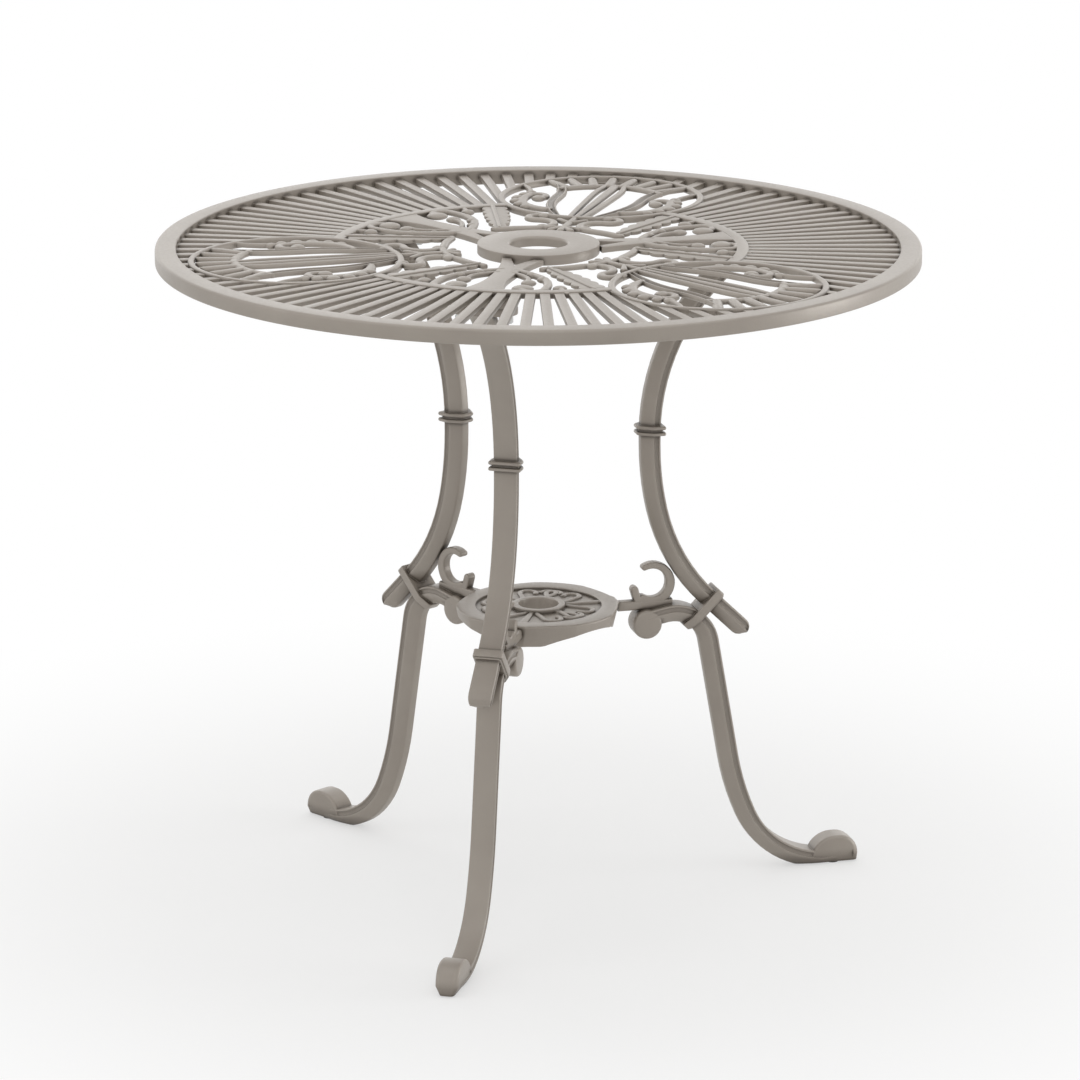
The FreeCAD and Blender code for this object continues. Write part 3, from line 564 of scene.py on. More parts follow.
# %% The forked leaf over the leg
leaf_root = hub_radius - overlap
leaf_tip = ring_inside + overlap
waist = (0.725 * size, 11.5)
side = through((leaf_root, 22.5), at(0.507, 0.068), waist)
side += through(waist, at(0.879, 0.067), (leaf_tip, 22.0)) + [(leaf_tip, 22.0)]
leaf_points = [(leaf_root, 12.0)] + side + [(x, -y) for x, y in reversed(side)]
leaf_points += [(leaf_root, -12.0), (0.449 * size, 0.0)]
centre_shapes = copied(half_centre, [stay, mirror_y])
keep(plate(leaf_points[::-1], plate_bottom, plate_top + 0.6, 1.5, 3), centre_shapes)
tabletop_shapes += copied(centre_shapes, three_ways)
print("centre: 3 sectors of", len(centre_shapes), "shapes")

# %% The small palmettes between two bowls, drawn with the stem on +X
small_palmette = []
stroke(small_palmette, (149.0, 0.0, 180.0), [(100.0, 0.0)], [7.0, 9.0])
leans = (-80.0, -40.0, 0.0, 40.0, 80.0)
fingers = [((102.0, 0.0, 180.0 + lean), 14.0 + abs(lean) / 20.0, 9.0) for lean in leans]
leaves = [((125.0, 0.0, lean), 19.0, 8.0) for lean in (-46.0, 46.0)]
for spot, length, width in fingers + leaves:
    stroke(small_palmette, spot, [line_step(spot, length)[:2]], [width - 3.0, width])
tabletop_shapes += copied(small_palmette, [turn(angle) for angle in medallion_angles])
print("small palmettes: 3 of", len(small_palmette), "shapes")

# %% [markdown]
# ## The medallions
# Each medallion is a thin ring round a palmette: a fan of eight fingers on a stem, with two
# inner stems, two hollowed side leaves and two volutes with a row of lumps on their backs. The
# palmette is an old ornament of ironwork and stucco. It is drawn once with the stem on the Y
# axis, then carried to its place.

# %% Palmette and ring
size = 105.0
at = scaled(size)
focus = at(0, -0.095)
medallion = []
medallion_outline = rounded_outline(
    [
        (size, plate_bottom), (medallion_radius, plate_bottom),
        (medallion_radius, plate_top + 1.6), (size, plate_top + 1.6),
    ],
    2.2,
)
keep(spun(medallion_outline, 120), medallion)
stroke(medallion, (*at(0, -1.0), 90.0), [at(0, 0.6)], [7.0, 11.0])
petal_count = 8
petal_step = 12.2
for i in range(petal_count):
    heading = 90.0 + (i - (petal_count - 1) / 2) * petal_step
    petal_root = line_step((*focus, heading), 0.72 * size)
    petal_tip = line_step((*focus, heading), 1.04 * size)
    stroke(medallion, petal_root, [petal_tip[:2]], [12.0, 10.0], crown=1.4)
fan_half = petal_step * petal_count / 2
fan_radius = 0.7 * size
fan_start = line_step((*focus, 90.0 + fan_half), fan_radius)
stroke(medallion, (*fan_start[:2], fan_half), [(fan_radius, -2 * fan_half, "arc")], [10.0] * 2)

# %% Side stems, leaves and volutes
half_palmette = []
stems = [
    ((0.07, -1.0), 86.0, [(0.11, -0.286), (0.13, 0.19), (0.1, 0.6)], [6.5] * 4, False),
    (
        (0.22, -0.96), 64.0, [(0.38, -0.571), (0.45, -0.095), (0.52, 0.381), (0.63, 0.6)],
        [8.0, 11.0, 12.5, 11.0, 7.0], True,
    ),
    ((0.757, -0.05), 88.0, [(0.93, 0.4)], [6.0] * 2, False),
]
for begin, heading, stops, widths, fluted in stems:
    stops = [at(*stop) for stop in stops]
    stroke(half_palmette, (*at(*begin), heading), stops, widths, fluted=fluted)
stops = [at(0.59, -0.59), at(0.762, -0.333), at(0.762, -0.048)]
stops.append((0.095 * size, 230.0, "arc"))
eye = stroke(half_palmette, (*at(0.381, -0.667), 5.0), stops, [9.0, 12.0, 12.0, 10.0, 8.0])
# Lumps along the outside of the volute
for x, y, radius in (
    (0.645, -0.6, 6.5), (0.742, -0.49, 7.0), (0.815, -0.346, 7.5),
    (0.838, -0.19, 7.5), (0.815, -0.03, 6.5), (0.772, 0.085, 6.5),
):
    bead(half_palmette, at(x, y), radius)
bead(half_palmette, eye, 8.0, 3.5)
medallion += copied(half_palmette, [stay, mirror_x])
carried = [turn(angle - 90.0) @ shift(0, medallion_reach, 0) for angle in medallion_angles]
tabletop_shapes += copied(medallion, carried)
print("medallions: 3 of", len(medallion), "shapes")

# %% [markdown]
# ## Bolting seats under the top
# Each leg is bolted to a thick seat under the inner ring. A seat is a slot-shaped plate with
# two tapped holes. The bolts themselves come from the CAD model.

# %% Seats
seat_reach = 209.0
seat_level = plate_bottom - 10.0
seat_size = (70.0, 34.0)
bolt_half_spacing = 23.0
tapped_radius = 4.1


def slot_points(length, width, steps=12):
    """Outline of a slot along Y with round ends."""
    points = []
    for way in (1, -1):
        for i in range(steps + 1):
            c, s = unit(180.0 * i / steps)
            points.append((way * c * width / 2, way * (s * width / 2 + (length - width) / 2)))
    return points


def slot_plate(bottom, top):
    """The plate of a seat or a palm, between two heights."""
    return as_mesh(plate(slot_points(*seat_size), bottom, top, 1.0), shift(seat_reach, 0, 0))


def bolt_drums(radius, bottom, top):
    return [drum(radius, bottom, top, 32, seat_reach, side * bolt_half_spacing) for side in (-1, 1)]


tapped = bolt_drums(tapped_radius, seat_level - 5.0, seat_level + 9.2)
seat = cut_away(slot_plate(seat_level, plate_bottom + overlap), tapped)
tabletop_shapes += copied([seat], three_ways)
tabletop = joined("tabletop_casting", tabletop_shapes)

# %% [markdown]
# ## A leg's two bars
# A leg is one casting too. Its bars have the section of a coffin lid: a flat outer face,
# straight sides with a shallow cove, and flanks that run in to a narrow inner face. Coves and
# flanks are what show as thin bright and dark lines down the legs. The outline is carried
# along the middle of the bar, beside the walk of the outer face.

# %% Section and bars
bar_width = 25.0
bar_depth = 20.0


def bar_outline(grow=0.0, soft=1.4):
    """Coffin outline as shares of the half depth and half width; -1 is the outer face."""
    half = bar_width / 2 + grow
    inner = 5.0 + grow / 2
    corners = [
        (-bar_depth / 2 - grow, -half), (-bar_depth / 2 - grow, half), (-0.5, half),
        (bar_depth / 2 + grow, inner), (bar_depth / 2 + grow, -inner), (-0.5, -half),
    ]
    rounded = rounded_outline(corners, soft)
    return [(u / (bar_depth / 2), v / (bar_width / 2)) for u, v in rounded]


# A cove along a straight side: how far along, and its share of the full depth
cove = (
    (0.08, 0.0), (0.18, 0.62), (0.34, 0.95), (0.5, 1.0), (0.66, 0.95), (0.82, 0.62), (0.92, 0.0),
)


def coved(outline, deep=1.5):
    """The coffin outline with a shallow cove along both upright sides."""
    points = []
    for (u, v), (next_u, next_v) in zip(outline, outline[1:] + outline[:1]):
        points.append((u, v))
        if abs(v - next_v) < 0.001 and abs(v) > 0.99 and abs(next_u - u) > 0.4:
            for t, depth in cove:
                points.append((u + (next_u - u) * t, v * (1 - deep * depth / (bar_width / 2))))
    return points


def leg_bar(start, steps, side, ends, slimmer=()):
    """Bar along lines and arcs of its outer face; side is 1 where the bar lies to the left.
    Its last stations, tucked into another shape, are slimmer by the amounts given."""
    stations = walk(start, steps, [bar_depth] * (len(steps) + 1), 5.0, 5.0)
    middles = [(*beside(s[:3], side * bar_depth / 2), s[3]) for s in stations]
    rounded = with_round_ends(middles, ends)
    matrices = []
    for i, (x, z, heading, depth, share_left) in enumerate(rounded):
        width = bar_width * (0.35 + 0.65 * share_left) if depth < bar_depth else bar_width
        if i >= len(rounded) - len(slimmer):
            width -= slimmer[i - len(rounded)]
        matrices.append(side_matrix(x, z, heading, depth, width, side))
    return sweep(coved(bar_outline()), matrices), stations[-1][:3]


def cut_off(bar, level, way):
    """Takes off what lies above a level (way 1) or below it (way -1), and closes the cut."""
    cut = bmesh.ops.bisect_plane(
        bar, geom=bar.verts[:] + bar.edges[:] + bar.faces[:],
        plane_co=(0, 0, level), plane_no=(0, 0, way), clear_outer=True,
    )
    edges = [g for g in cut["geom_cut"] if isinstance(g, bmesh.types.BMEdge)]
    bmesh.ops.holes_fill(bar, edges=edges, sides=0)


# %% The upper bar, from its tail to the seat
tail_top = (194.0, shelf_top + 2.0, 136.0)
tail_length = 58.0
belly_arc = (197.0, -33.0)
neck_arc = (310.0, -13.0)
waist = arc_step(arc_step(tail_top, *belly_arc), *neck_arc)
waist_top = line_step(waist, 12.0)
palm_bottom = seat_level - 8.0
run = seat_reach + 17.0 - waist_top[0]
climb = palm_bottom - waist_top[1]
top_radius = (run ** 2 + climb ** 2) / (2 * run)
top_turn = math.degrees(math.asin(climb / top_radius))
leg_shapes = []
upper_steps = [
    (tail_length - bar_depth / 2,), (*belly_arc, "arc"), (*neck_arc, "arc"), (12.0,),
    (top_radius, -top_turn, "arc"),
]
tail_start = line_step(tail_top, bar_depth / 2 - tail_length)
upper_bar, _ = leg_bar(tail_start, upper_steps, 1, (True, False))
cut_off(upper_bar, palm_bottom + 1.0, 1)
keep(upper_bar, leg_shapes)

# %% The lower bar, from the head over the knee to the toe
peak_centre = (148.0, shelf_top - 59.0)
bend = (*line_step((*peak_centre, 101.0), 50.0)[:2], 11.0)
head_start = line_step(bend, -22.0)
knee = arc_step(bend, 50.0, -91.0)
# The shin leans 10 degrees, the ankle 24, and the instep goes on to level
ankle_drop = 279.0 * (unit(24.0)[1] - unit(10.0)[1])
instep_drop = 92.0 * (1 - unit(24.0)[1])
shin = (knee[1] - ankle_drop - instep_drop - (sole + 13.9)) / unit(10.0)[0]
toe_run = 16.0
lower_steps = [
    (22.0,), (50.0, -91.0, "arc"), (shin,), (279.0, 14.0, "arc"), (92.0, 66.0, "arc"), (toe_run,),
]
lower_bar, toe = leg_bar(head_start, lower_steps, -1, (False, False), (0.3, 0.9, 2.4, 6.0))
toe = line_step(toe, -toe_run)
cut_off(lower_bar, sole, -1)
keep(lower_bar, leg_shapes)
print("the toe ends at", [round(v, 1) for v in toe])

# %% [markdown]
# ## Collar and foot
# The double collar is two beads with a groove between them, drawn as the bar's own outline a
# little larger, so it hugs the flanks. The foot is a block with a round back, a blunt front and
# sides that run in towards the sole. It is skinned over copies of its side view.

# %% Collar and foot
collar_level = waist_top[1] - 1.2
# Bead, groove, bead
for grow, rise, height, soft in ((5.0, 0.0, 4.0, 1.9), (2.0, 4.0, 2.4, 0.0), (5.0, 6.4, 4.0, 1.9)):
    outline = bar_outline(grow, 2.4)
    outline = [(waist_top[0] - bar_depth / 2 * (1 + u), v * bar_width / 2) for u, v in outline]
    keep(plate(outline, collar_level + rise, collar_level + rise + height, soft, 3), leg_shapes)

across = Matrix.Rotation(math.radians(90.0), 4, "X")


def side_drum(radius, thickness, x, z, steps=64):
    """Drum that lies across the leg."""
    bm = bmesh.new()
    bmesh.ops.create_cone(
        bm, cap_ends=True, segments=steps, radius1=radius, radius2=radius, depth=thickness,
        matrix=shift(x, 0, z) @ across,
    )
    return bm


foot_radius = 28.0
foot_middle = (toe[0] + 8.0, sole + 2.5)
foot_top = foot_middle[1] + foot_radius
foot_front = foot_middle[0] + 26.7
foot_back = foot_middle[0] - foot_radius
nose_radius = 22.0
# Points of the side view, each with the angle that its surface faces
foot_profile = [(foot_front, sole + rise, 0.0) for rise in (0.0, 4.0, 8.0)]
for angle in range(0, 91, 10):
    c, s = unit(angle)
    x, z = foot_front - nose_radius * (1 - c), foot_top - nose_radius * (1 - s)
    foot_profile.append((x, z, angle))
for angle in range(90, 181, 9):
    x, z, _ = line_step((*foot_middle, angle), foot_radius)
    foot_profile.append((x, z, angle))
foot_profile.append((foot_back, sole, 180.0))
foot_profile += [(foot_back + 6.0 * i, sole, 270.0) for i in range(1, 9)]


def foot_ring(y):
    """The side view at a share of the half width, drawn in for the round edges. Low down the
    whole ring lies nearer the middle plane, so the sides run in to the sole."""
    over_soft = max(0.0, abs(y) - (bar_width / 2 - 3.0))
    over_plan = max(0.0, abs(y) - (bar_width / 2 - 6.0))
    soft = 3.0 - math.sqrt(9.0 - over_soft ** 2)
    plan = 6.0 - math.sqrt(36.0 - over_plan ** 2)
    points = []
    for x, z, faces in foot_profile:
        c, s = unit(faces)
        inward = plan * c ** 2 + soft * s ** 2 if c > 0 else soft
        level = max(sole, z - inward * max(0.0, s))
        narrowed = 1.0 - 0.36 * max(0.0, 1.0 - (level - sole) / 8.5)
        points.append((x - inward * c, y * narrowed, level))
    return points


def bridged(rings, closed=False):
    """Skin over rings that all have the same number of points."""
    bm = bmesh.new()
    loops = [[bm.verts.new(point) for point in ring] for ring in rings]
    pairs = list(zip(loops, loops[1:])) + ([(loops[-1], loops[0])] if closed else [])
    for one, other in pairs:
        for a, b, c, d in zip(one, one[1:] + one[:1], other[1:] + other[:1], other):
            bm.faces.new((a, b, c, d))
    if not closed:
        bm.faces.new(loops[0])
        bm.faces.new(loops[-1])
    return bm


# Half widths, closer together where the edge is round
offsets = [bar_width / 2 - v for v in (0.0, 0.15, 0.6, 1.3, 2.1, 3.0, 4.2, 6.0)]
offsets += [-offset for offset in reversed(offsets)]
keep(bridged([foot_ring(y) for y in offsets]), leg_shapes)

# %% [markdown]
# ## Curled head, band and C scroll
# At its upper end the lower bar curls up into a round head. A strap ties the head's bar to the
# tail of the upper bar, and a C scroll stands on the head. Small round bars like the C are
# swept in the leg's own plane.

# %% Head, band, scroll and stub
head_spot = (118.0, shelf_top - 28.5)
head = side_drum(16.0, bar_width - 0.2, *head_spot)
rims = [e for e in head.edges if abs(e.verts[0].co.y - e.verts[1].co.y) < 0.01]
soften(head, rims, 3.0, 4)
keep(head, leg_shapes)

standing = side_matrix(*line_step(tail_top, -3.5), 2.0, 2.0)
half = bar_width / 2 + 2.0
reach = 48.3
band_corners = [(-3.0, -half), (-3.0, half), (reach - 14.0, half), (reach, 7.5)]
band_corners += [(reach, -7.5), (reach - 14.0, -half)]
# The strap itself, then the bead along its edge
for grow, first, last, soft in ((-1.5, -3.5, 5.5, 1.0), (0.0, -5.5, -2.4, 1.4)):
    outline = []
    for d, w in band_corners:
        outline.append((d + math.copysign(grow, d - 20.0), w + math.copysign(grow, w)))
    keep(plate(rounded_outline(outline, 2.5), first, last, soft, 3), leg_shapes, standing)


def scroll_bar(start, stops, widths, thickness, ends=(True, True)):
    """Round-edged bar in the leg's plane."""
    stations = with_round_ends(walk(start, stops, widths, 10.0, 5.0), ends)
    corners = rounded_outline([(-1, -1), (-1, 1), (1, 1), (1, -1)], 0.42, 4)
    matrices = [side_matrix(*station[:4], thickness * station[4]) for station in stations]
    return sweep(corners, matrices)


scroll_thickness = 11.0
c_centre = (125.1, shelf_top + 15.0)
c_radius = 20.0
c_start = (*line_step((*c_centre, 116.0), c_radius)[:2], 26.0)
c_steps = [(c_radius, -119.0, "arc")] * 2
keep(scroll_bar(c_start, c_steps, [6.5, 10.0, 10.0], scroll_thickness), leg_shapes)
thumb_start = (108.8, shelf_top - 2.9, math.degrees(math.atan2(11.9, -3.5)))
keep(scroll_bar(thumb_start, [(12.4,)], [8.5, 8.5], scroll_thickness - 0.3), leg_shapes)
stub_start = (87.0, shelf_top - 8.25, 0.0)
stub = scroll_bar(stub_start, [(60.0,)], [10.5, 10.5], scroll_thickness + 0.3, (False, False))
keep(stub, leg_shapes)

# %% [markdown]
# ## Palm
# The palm is the plate that meets the seat, with two clearance holes for the bolts.

# %% Palm, and the three legs
clearance_radius = 4.5
clearance = bolt_drums(clearance_radius, palm_bottom - 5.0, seat_level + 5.0)
leg_shapes.append(cut_away(slot_plate(palm_bottom, seat_level), clearance))
legs = {}
for name, angle in leg_angles.items():
    legs[name] = joined("leg_casting_" + name, copied(leg_shapes, [turn(angle)]))

# %% [markdown]
# ## The shelf
# The shelf ties the legs together. It is a dish on a tapered apron, with a lug towards each
# leg. All of its walls follow one outline with the lugs in it, which is drawn at each level and
# skinned ring to ring. The scrolls in the dish are the same crowned bars.

# %% Shelf
shelf_radius = 88.0
lug_reach = 87.0
lug_half = 11.0
flank_angle = 42.0
apron_depth = 24.0
apron_bottom = shelf_top - apron_depth
arch_half = 50.0
arch_rise = 13.0
arch_radius = (arch_half ** 2 + arch_rise ** 2) / (2 * arch_rise)


def shelf_sector(grow):
    """Outline of a third of the shelf, from one mid direction to the next, with the leg on +X."""
    radius = shelf_radius + grow
    half = lug_half + grow
    tip = lug_reach + grow
    soft = 1.6
    bow = 2.0
    shoulder = (radius * unit(flank_angle)[0], radius * unit(flank_angle)[1])
    run_x, run_y = shoulder[0] - tip + soft, shoulder[1] - half
    run = math.hypot(run_x, run_y)
    upper = [(tip, 0.0), (tip, half - soft), (tip - 0.3 * soft, half - 0.3 * soft)]
    for i in range(1, 13):
        t = i / 12
        bulge = 4 * bow * t * (1 - t) / run
        upper.append((tip - soft + run_x * t + run_y * bulge, half + run_y * t - run_x * bulge))
    upper += arc_points(0.0, 0.0, radius, flank_angle + 1.0, 60.0, 9)
    return [(x, -y) for x, y in reversed(upper[1:-1])] + upper


def around(points):
    """The outline of a sector, repeated for the three legs."""
    spots = []
    for angle in sorted(leg_angles.values()):
        c, s = unit(angle)
        spots += [(x * c - y * s, x * s + y * c) for x, y in points]
    return spots


def circle_like(radius):
    """A circle with its points in the same directions as the outline's."""
    sector = [(x / math.hypot(x, y), y / math.hypot(x, y)) for x, y in shelf_sector(0.0)]
    return around([(radius * c, radius * s) for c, s in sector])


def apron_ring(grow, level, lifted):
    """The outline at a level; the lower edge is lifted to an arch between two legs."""
    points = []
    top_ring = around(shelf_sector(grow))
    low_ring = around(shelf_sector(grow - 5.0))
    for (x, y), (low_x, low_y) in zip(top_ring, low_ring):
        direction = math.degrees(math.atan2(y, x))
        middle = min(abs(math.remainder(direction - a, 360.0)) for a in medallion_angles)
        sideways = math.hypot(low_x, low_y) * unit(middle)[1]
        rise = 0.0
        if lifted and middle < 60.0 and sideways < arch_half:
            rise = math.sqrt(arch_radius ** 2 - sideways ** 2) - (arch_radius - arch_rise)
        down = (shelf_top - level - rise) / apron_depth
        points.append((x + (low_x - x) * down, y + (low_y - y) * down, level + rise))
    return points


dish = shelf_top - 3.0
dish_under = dish - 3.5
recess = 67.0
ring_radius = 28.5
pole_radius = 21.25
ring_top = shelf_top + 1.5
ring_bottom = shelf_top - 14.0
rings = [
    apron_ring(-4.5, apron_bottom, True), apron_ring(-0.8, apron_bottom, True),
    apron_ring(0.0, apron_bottom + 0.8, True), apron_ring(0.0, shelf_top - 2.4, False),
    apron_ring(-0.2, shelf_top - 1.5, False), apron_ring(-0.7, shelf_top - 0.7, False),
    apron_ring(-1.5, shelf_top - 0.2, False), apron_ring(-2.4, shelf_top, False),
]
for radius, level in (
    (recess + 1.4, shelf_top), (recess + 0.4, shelf_top - 0.4), (recess, shelf_top - 1.4),
    (recess, dish), (ring_radius, dish), (ring_radius, ring_top - 1.4),
    (ring_radius - 0.4, ring_top - 0.4), (ring_radius - 1.4, ring_top),
    (pole_radius + 1.4, ring_top), (pole_radius + 0.4, ring_top - 0.4),
    (pole_radius, ring_top - 1.4), (pole_radius, ring_bottom), (ring_radius, ring_bottom),
    (ring_radius, dish_under), (recess + 3.5, dish_under), (recess + 3.5, shelf_top - 3.0),
):
    rings.append([(x, y, level) for x, y in circle_like(radius)])
rings.append(apron_ring(-4.5, shelf_top - 3.0, False))
shelf_shapes = []
keep(bridged(rings, closed=True), shelf_shapes)

size = recess
at = scaled(size)
relief_floor = dish - 1.0
half_relief = []
for begin, heading, stop, curl in (
    ((0.45, 0.1), 40.0, (0.72, 0.3), (0.13 * size, 210.0, "arc")),
    ((0.24, 0.38), 75.0, (0.3, 0.66), (0.12 * size, -200.0, "arc")),
):
    spot = (*at(*begin), heading)
    eye = stroke(half_relief, spot, [at(*stop), curl], [6.5] * 3, 2.4, 1.0, relief_floor)
    keep(ball(3.6, relief_floor + 0.6, 2.9, *eye[:2]), half_relief)
relief = copied(half_relief, [stay, mirror_y])
spot = (*at(0.45, 0), 0.0)
stroke(relief, spot, [at(0.97, 0)], [6.5, 10.4], 2.4, 1.0, relief_floor)
shelf_shapes += copied(relief, three_ways)
shelf = joined("shelf_casting", shelf_shapes)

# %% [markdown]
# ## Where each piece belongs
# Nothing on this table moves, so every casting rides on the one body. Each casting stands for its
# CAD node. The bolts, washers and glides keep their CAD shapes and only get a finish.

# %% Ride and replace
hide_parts("tabletop")
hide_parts("shelf")
for name, leg in legs.items():
    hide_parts("leg_" + name)
castings = [tabletop, shelf] + list(legs.values())
for piece in castings:
    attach(piece, "root")
    for polygon in piece.data.polygons:
        polygon.use_smooth = True
    piece.data.set_sharp_from_angle(angle=math.radians(38.0))

# %% [markdown]
# ## Finishes
# The coat is a polyester powder, baked on: opaque, satin, with a faint orange peel of a few
# tenths of a millimetre and a slow unevenness from the casting below. Painted shade darkens
# the hollows and, more, the creases, and the outer edges are a little lighter, partly as wear
# and partly as a painted highlight. The fasteners are zinc-plated steel, and the glides are nylon.

# %% Colour helper and node helper
def colour(hex_code):
    """sRGB hex to the linear values that Blender's sockets want."""
    made = []
    for i in (0, 2, 4):
        value = int(hex_code[i:i + 2], 16) / 255
        made.append(value / 12.92 if value <= 0.04045 else ((value + 0.055) / 1.055) ** 2.4)
    return (*made, 1.0)


def new_material(name):
    material = bpy.data.materials.new(name)
    material.use_nodes = True
    material.node_tree.nodes.clear()
    return material


def add(material, kind, settings=None, **inputs):
    """Adds one shader node. Settings are its own properties; inputs are values or sockets to
    link, by the socket's name, or i and its number where names repeat."""
    node = material.node_tree.nodes.new("ShaderNode" + kind)
    for key, value in (settings or {}).items():
        setattr(node, key, value)
    for key, value in inputs.items():
        numbered = key[0] == "i" and key[1:].isdigit()
        socket = node.inputs[int(key[1:]) if numbered else key.replace("_", " ")]
        if isinstance(value, bpy.types.NodeSocket):
            material.node_tree.links.new(value, socket)
        else:
            socket.default_value = value
    return node


# %% Powder coat
coat = new_material("powder_coat_greige")
place = add(coat, "TexCoord").outputs["Object"]
# Slow unevenness of the casting, about 60 mm across
cloud = add(coat, "TexNoise", Vector=place, Scale=16.0, Detail=3.0, Roughness=0.55).outputs["Fac"]
# Sand texture that the coat doesn't quite hide, about 3 mm
sand = add(coat, "TexNoise", Vector=place, Scale=330.0, Detail=2.0, Roughness=0.5).outputs["Fac"]
# Orange peel, about 1 mm, drawn a little coarser than the real few tenths
peel = add(coat, "TexNoise", Vector=place, Scale=900.0, Detail=1.0, Roughness=0.4).outputs["Fac"]
tone = add(
    coat, "Mix", {"data_type": "RGBA"}, i0=cloud, i6=colour("928980"), i7=colour("a39b91")
).outputs[2]
# Painted shade in the hollows, then darker painted shade in the creases, both from the ambient
# occlusion: reach in metres, openness where it starts and where it is full, its most, its colour
for reach, start, full, most, painted_shade_colour in (
    (0.018, 1.0, 0.4, 1.0, "6a6157"), (0.0045, 0.98, 0.66, 0.8, "4d453c"),
):
    openness = add(coat, "AmbientOcclusion", {"samples": 8}, Distance=reach).outputs["AO"]
    painted_shade_amount = add(
        coat, "MapRange", i0=openness, From_Min=start, From_Max=full, To_Min=0.0, To_Max=most
    ).outputs["Result"]
    tone = add(
        coat, "Mix", {"data_type": "RGBA"}, i0=painted_shade_amount, i6=tone, i7=colour(painted_shade_colour)
    ).outputs[2]
# Worn edges, lighter, with a painted highlight along them, a little over a millimetre wide
edge = add(coat, "Bevel", {"samples": 4}, Radius=0.0011).outputs["Normal"]
true_normal = add(coat, "NewGeometry").outputs["Normal"]
likeness = add(
    coat, "VectorMath", {"operation": "DOT_PRODUCT"}, i0=edge, i1=true_normal
).outputs["Value"]
wear_and_highlight_share = add(
    coat, "MapRange", i0=likeness, From_Min=0.99, From_Max=0.8, To_Min=0.0, To_Max=0.55
).outputs["Result"]
coat_colour = add(
    coat, "Mix", {"data_type": "RGBA"}, i0=wear_and_highlight_share, i6=tone, i7=colour("b9b1a7")
).outputs[2]
coat_rough = add(
    coat, "MapRange", i0=sand, From_Min=0.3, From_Max=0.7, To_Min=0.36, To_Max=0.44
).outputs["Result"]
skin = add(coat, "Math", {"operation": "MULTIPLY_ADD"}, i0=peel, i1=0.45, i2=sand).outputs["Value"]
coat_bump = add(coat, "Bump", Strength=0.35, Distance=0.00022, Height=skin).outputs["Normal"]
coat_shader = add(
    coat, "BsdfPrincipled", Base_Color=coat_colour, Roughness=coat_rough, Normal=coat_bump,
    Metallic=0.12, IOR=1.5, Coat_Weight=0.08, Coat_Roughness=0.3,
)
add(coat, "OutputMaterial", Surface=coat_shader.outputs["BSDF"])

# %% Zinc plate and nylon
def plain_finish(name, kind, output, fine, coarse, tones, rough, bump, **surface):
    """Two tones in a coarse cloud, and a fine texture that works on gloss and bump. Rough is
    two values of the texture, then the roughness at each; bump is strength and distance."""
    material = new_material(name)
    place = add(material, "TexCoord").outputs["Object"]
    texture = add(material, kind, Vector=place, **fine).outputs[output]
    cloud = add(material, "TexNoise", Vector=place, **coarse).outputs["Fac"]
    one, other = (colour(tone) for tone in tones)
    tone = add(material, "Mix", {"data_type": "RGBA"}, i0=cloud, i6=one, i7=other).outputs[2]
    ends = dict(zip(("From_Min", "From_Max", "To_Min", "To_Max"), rough))
    gloss = add(material, "MapRange", i0=texture, **ends).outputs["Result"]
    normal = add(
        material, "Bump", Strength=bump[0], Distance=bump[1], Height=texture
    ).outputs["Normal"]
    shader = add(
        material, "BsdfPrincipled", Base_Color=tone, Roughness=gloss, Normal=normal, **surface
    ).outputs["BSDF"]
    add(material, "OutputMaterial", Surface=shader)
    return material


# Spangle of the plating, about 1 mm, over clouds of about 6 mm
zinc = plain_finish(
    "bright_zinc_plate", "TexVoronoi", "Distance", {"Scale": 900.0},
    {"Scale": 180.0, "Detail": 3.0}, ("b4b5b3", "cbccca"), (0.0, 0.8, 0.3, 0.44), (0.2, 0.0001),
    Metallic=1.0,
)
# Spark-eroded mould texture, about half a millimetre, over scuffs of about 5 mm
nylon = plain_finish(
    "black_nylon", "TexNoise", "Fac", {"Scale": 1500.0, "Detail": 2.0},
    {"Scale": 220.0, "Detail": 4.0}, ("1d1d1e", "343331"), (0.3, 0.7, 0.5, 0.66), (0.4, 0.00008),
    IOR=1.53,
)

# %% Give every piece its finish
for piece in castings:
    piece.data.materials.append(coat)
for name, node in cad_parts.items():
    if node.hide_render:
        continue
    node.data.materials.clear()
    node.data.materials.append(nylon if "glide" in name else zinc)
print("materials:", [m.name for m in (coat, zinc, nylon)])

# %% [markdown]
# ## Floor, light and camera
# A catalogue photograph is lit by large soft sources from all round: a broad one overhead, two
# in front, one on each side and two behind, which stand in for the white backdrop. The floor is
# a pale sheet that fades to white further out, so the horizon disappears and only the soft
# shadows under the feet stay.

# %% Floor and backdrop
def background_share(owner):
    """1 on the rays that show the background: camera rays, and those in gloss and glass."""
    rays = add(owner, "LightPath").outputs
    glossy = add(
        owner, "Math", {"operation": "MAXIMUM"}, i0=rays["Is Camera Ray"], i1=rays["Is Glossy Ray"]
    ).outputs[0]
    return add(
        owner, "Math", {"operation": "MAXIMUM"}, i0=glossy, i1=rays["Is Transmission Ray"]
    ).outputs[0]


floor_bm = bmesh.new()
bmesh.ops.create_grid(floor_bm, x_segments=8, y_segments=8, size=30.0)
floor = linked("floor", stored(floor_bm, "floor"))
floor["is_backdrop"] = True
sheet = new_material("pale_floor")
place = add(sheet, "TexCoord").outputs["Object"]
distance = add(sheet, "VectorMath", {"operation": "LENGTH"}, i0=place).outputs["Value"]
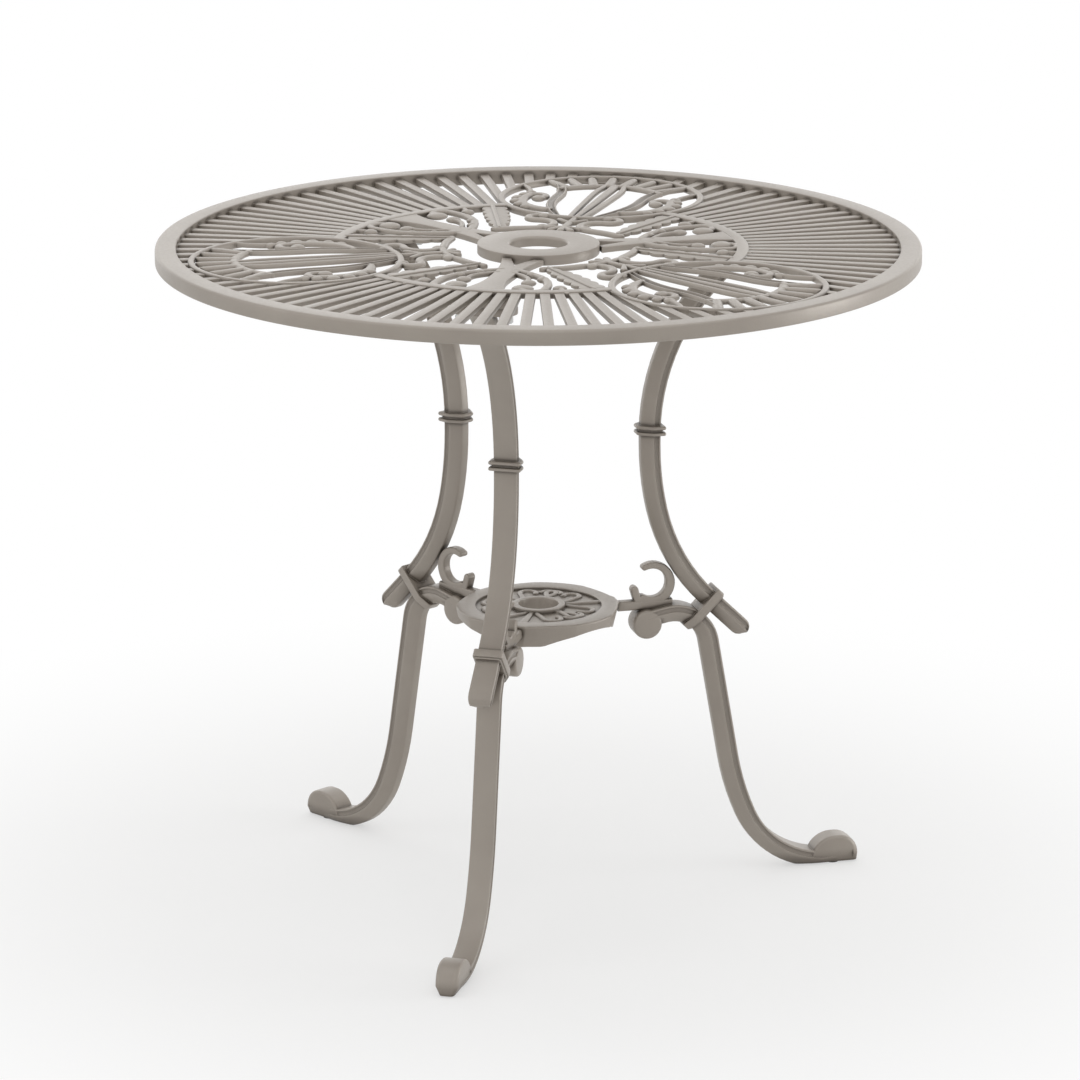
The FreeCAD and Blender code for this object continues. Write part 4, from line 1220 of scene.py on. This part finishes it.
# Half white under the table, all white from 1.1 m out
fade = add(
    sheet, "MapRange", {"interpolation_type": "SMOOTHSTEP"},
    i0=distance, From_Min=0.35, From_Max=1.1, To_Min=0.5,
).outputs["Result"]
white_share = add(
    sheet, "Math", {"operation": "MULTIPLY"}, i0=fade, i1=background_share(sheet)
).outputs[0]
paper = add(sheet, "BsdfDiffuse", Color=colour("f8f8f7")).outputs["BSDF"]
glow = add(sheet, "Emission", Color=(1, 1, 1, 1), Strength=1.0).outputs["Emission"]
mixed = add(sheet, "MixShader", i0=white_share, i1=paper, i2=glow).outputs["Shader"]
add(sheet, "OutputMaterial", Surface=mixed)
floor.data.materials.append(sheet)

world = bpy.data.worlds.new("studio")
bpy.context.scene.world = world
world.use_nodes = True
world.node_tree.nodes.clear()
dim = add(world, "Background", Color=(1, 1, 1, 1), Strength=0.35).outputs[0]
white = add(world, "Background", Color=(1, 1, 1, 1), Strength=1.0).outputs[0]
mixed = add(world, "MixShader", i0=background_share(world), i1=dim, i2=white).outputs["Shader"]
add(world, "OutputWorld", Surface=mixed)

# %% Lamps
# The camera stands this far round from the front
view_angle = 15.21


def lamp(name, place, aim, width, watts):
    """Large square soft light."""
    light = bpy.data.lights.new(name, "AREA")
    light.shape = "SQUARE"
    light.size = width
    light.energy = watts
    holder = linked(name, light)
    holder.location = place
    holder.rotation_euler = (Vector(aim) - Vector(place)).to_track_quat("-Z", "Y").to_euler()
    holder.visible_camera = False


# Name, degrees round from the camera, distance and height in metres, width, watts
for name, side_angle, reach, height, width, watts in (
    ("front_soft", 5.0, 3.6, 1.9, 2.0, 18.5),
    ("front_left_wide", -50.0, 4.0, 1.8, 3.0, 13.0),
    ("left_soft", -80.0, 3.2, 1.2, 1.5, 10.0),
    ("strip_right", 90.0, 2.8, 0.45, 1.2, 26.0),
    ("backdrop_left", 205.0, 3.4, 1.5, 3.0, 20.0),
    ("backdrop_right", 155.0, 3.4, 1.5, 2.4, 13.0),
):
    c, s = unit(view_angle - 90.0 + side_angle)
    lamp(name, (reach * c, reach * s, height), (0, 0, 0.45), width, watts)
lamp("overhead", (0, 0, 3.2), (0, 0, 0.6), 4.5, 50.0)

# %% Camera
camera_data = bpy.data.cameras.new("camera")
camera = linked("camera", camera_data)
bpy.context.scene.camera = camera
# Distance, height, tilt and focal length were fitted to the photograph's outlines
view_distance = 5.49526
view_height = 1.91067
view_tilt = 0.2704
c, s = unit(view_angle)
camera.location = (view_distance * s, -view_distance * c, view_height)
camera.rotation_euler = (math.radians(90.0) - view_tilt, 0.0, math.radians(view_angle))
camera_data.sensor_width = 36.0
camera_data.lens = 179.24
camera_data.shift_x = 0.00146
camera_data.clip_end = 100.0
bpy.context.scene.view_settings.view_transform = "Standard"

# %% [markdown]
# ## The dressed table's box
# The box of the dressed table is printed.

# %% Box of the dressed table
low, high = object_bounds()
print("visual box:", [round(v, 4) for v in low], [round(v, 4) for v in high])
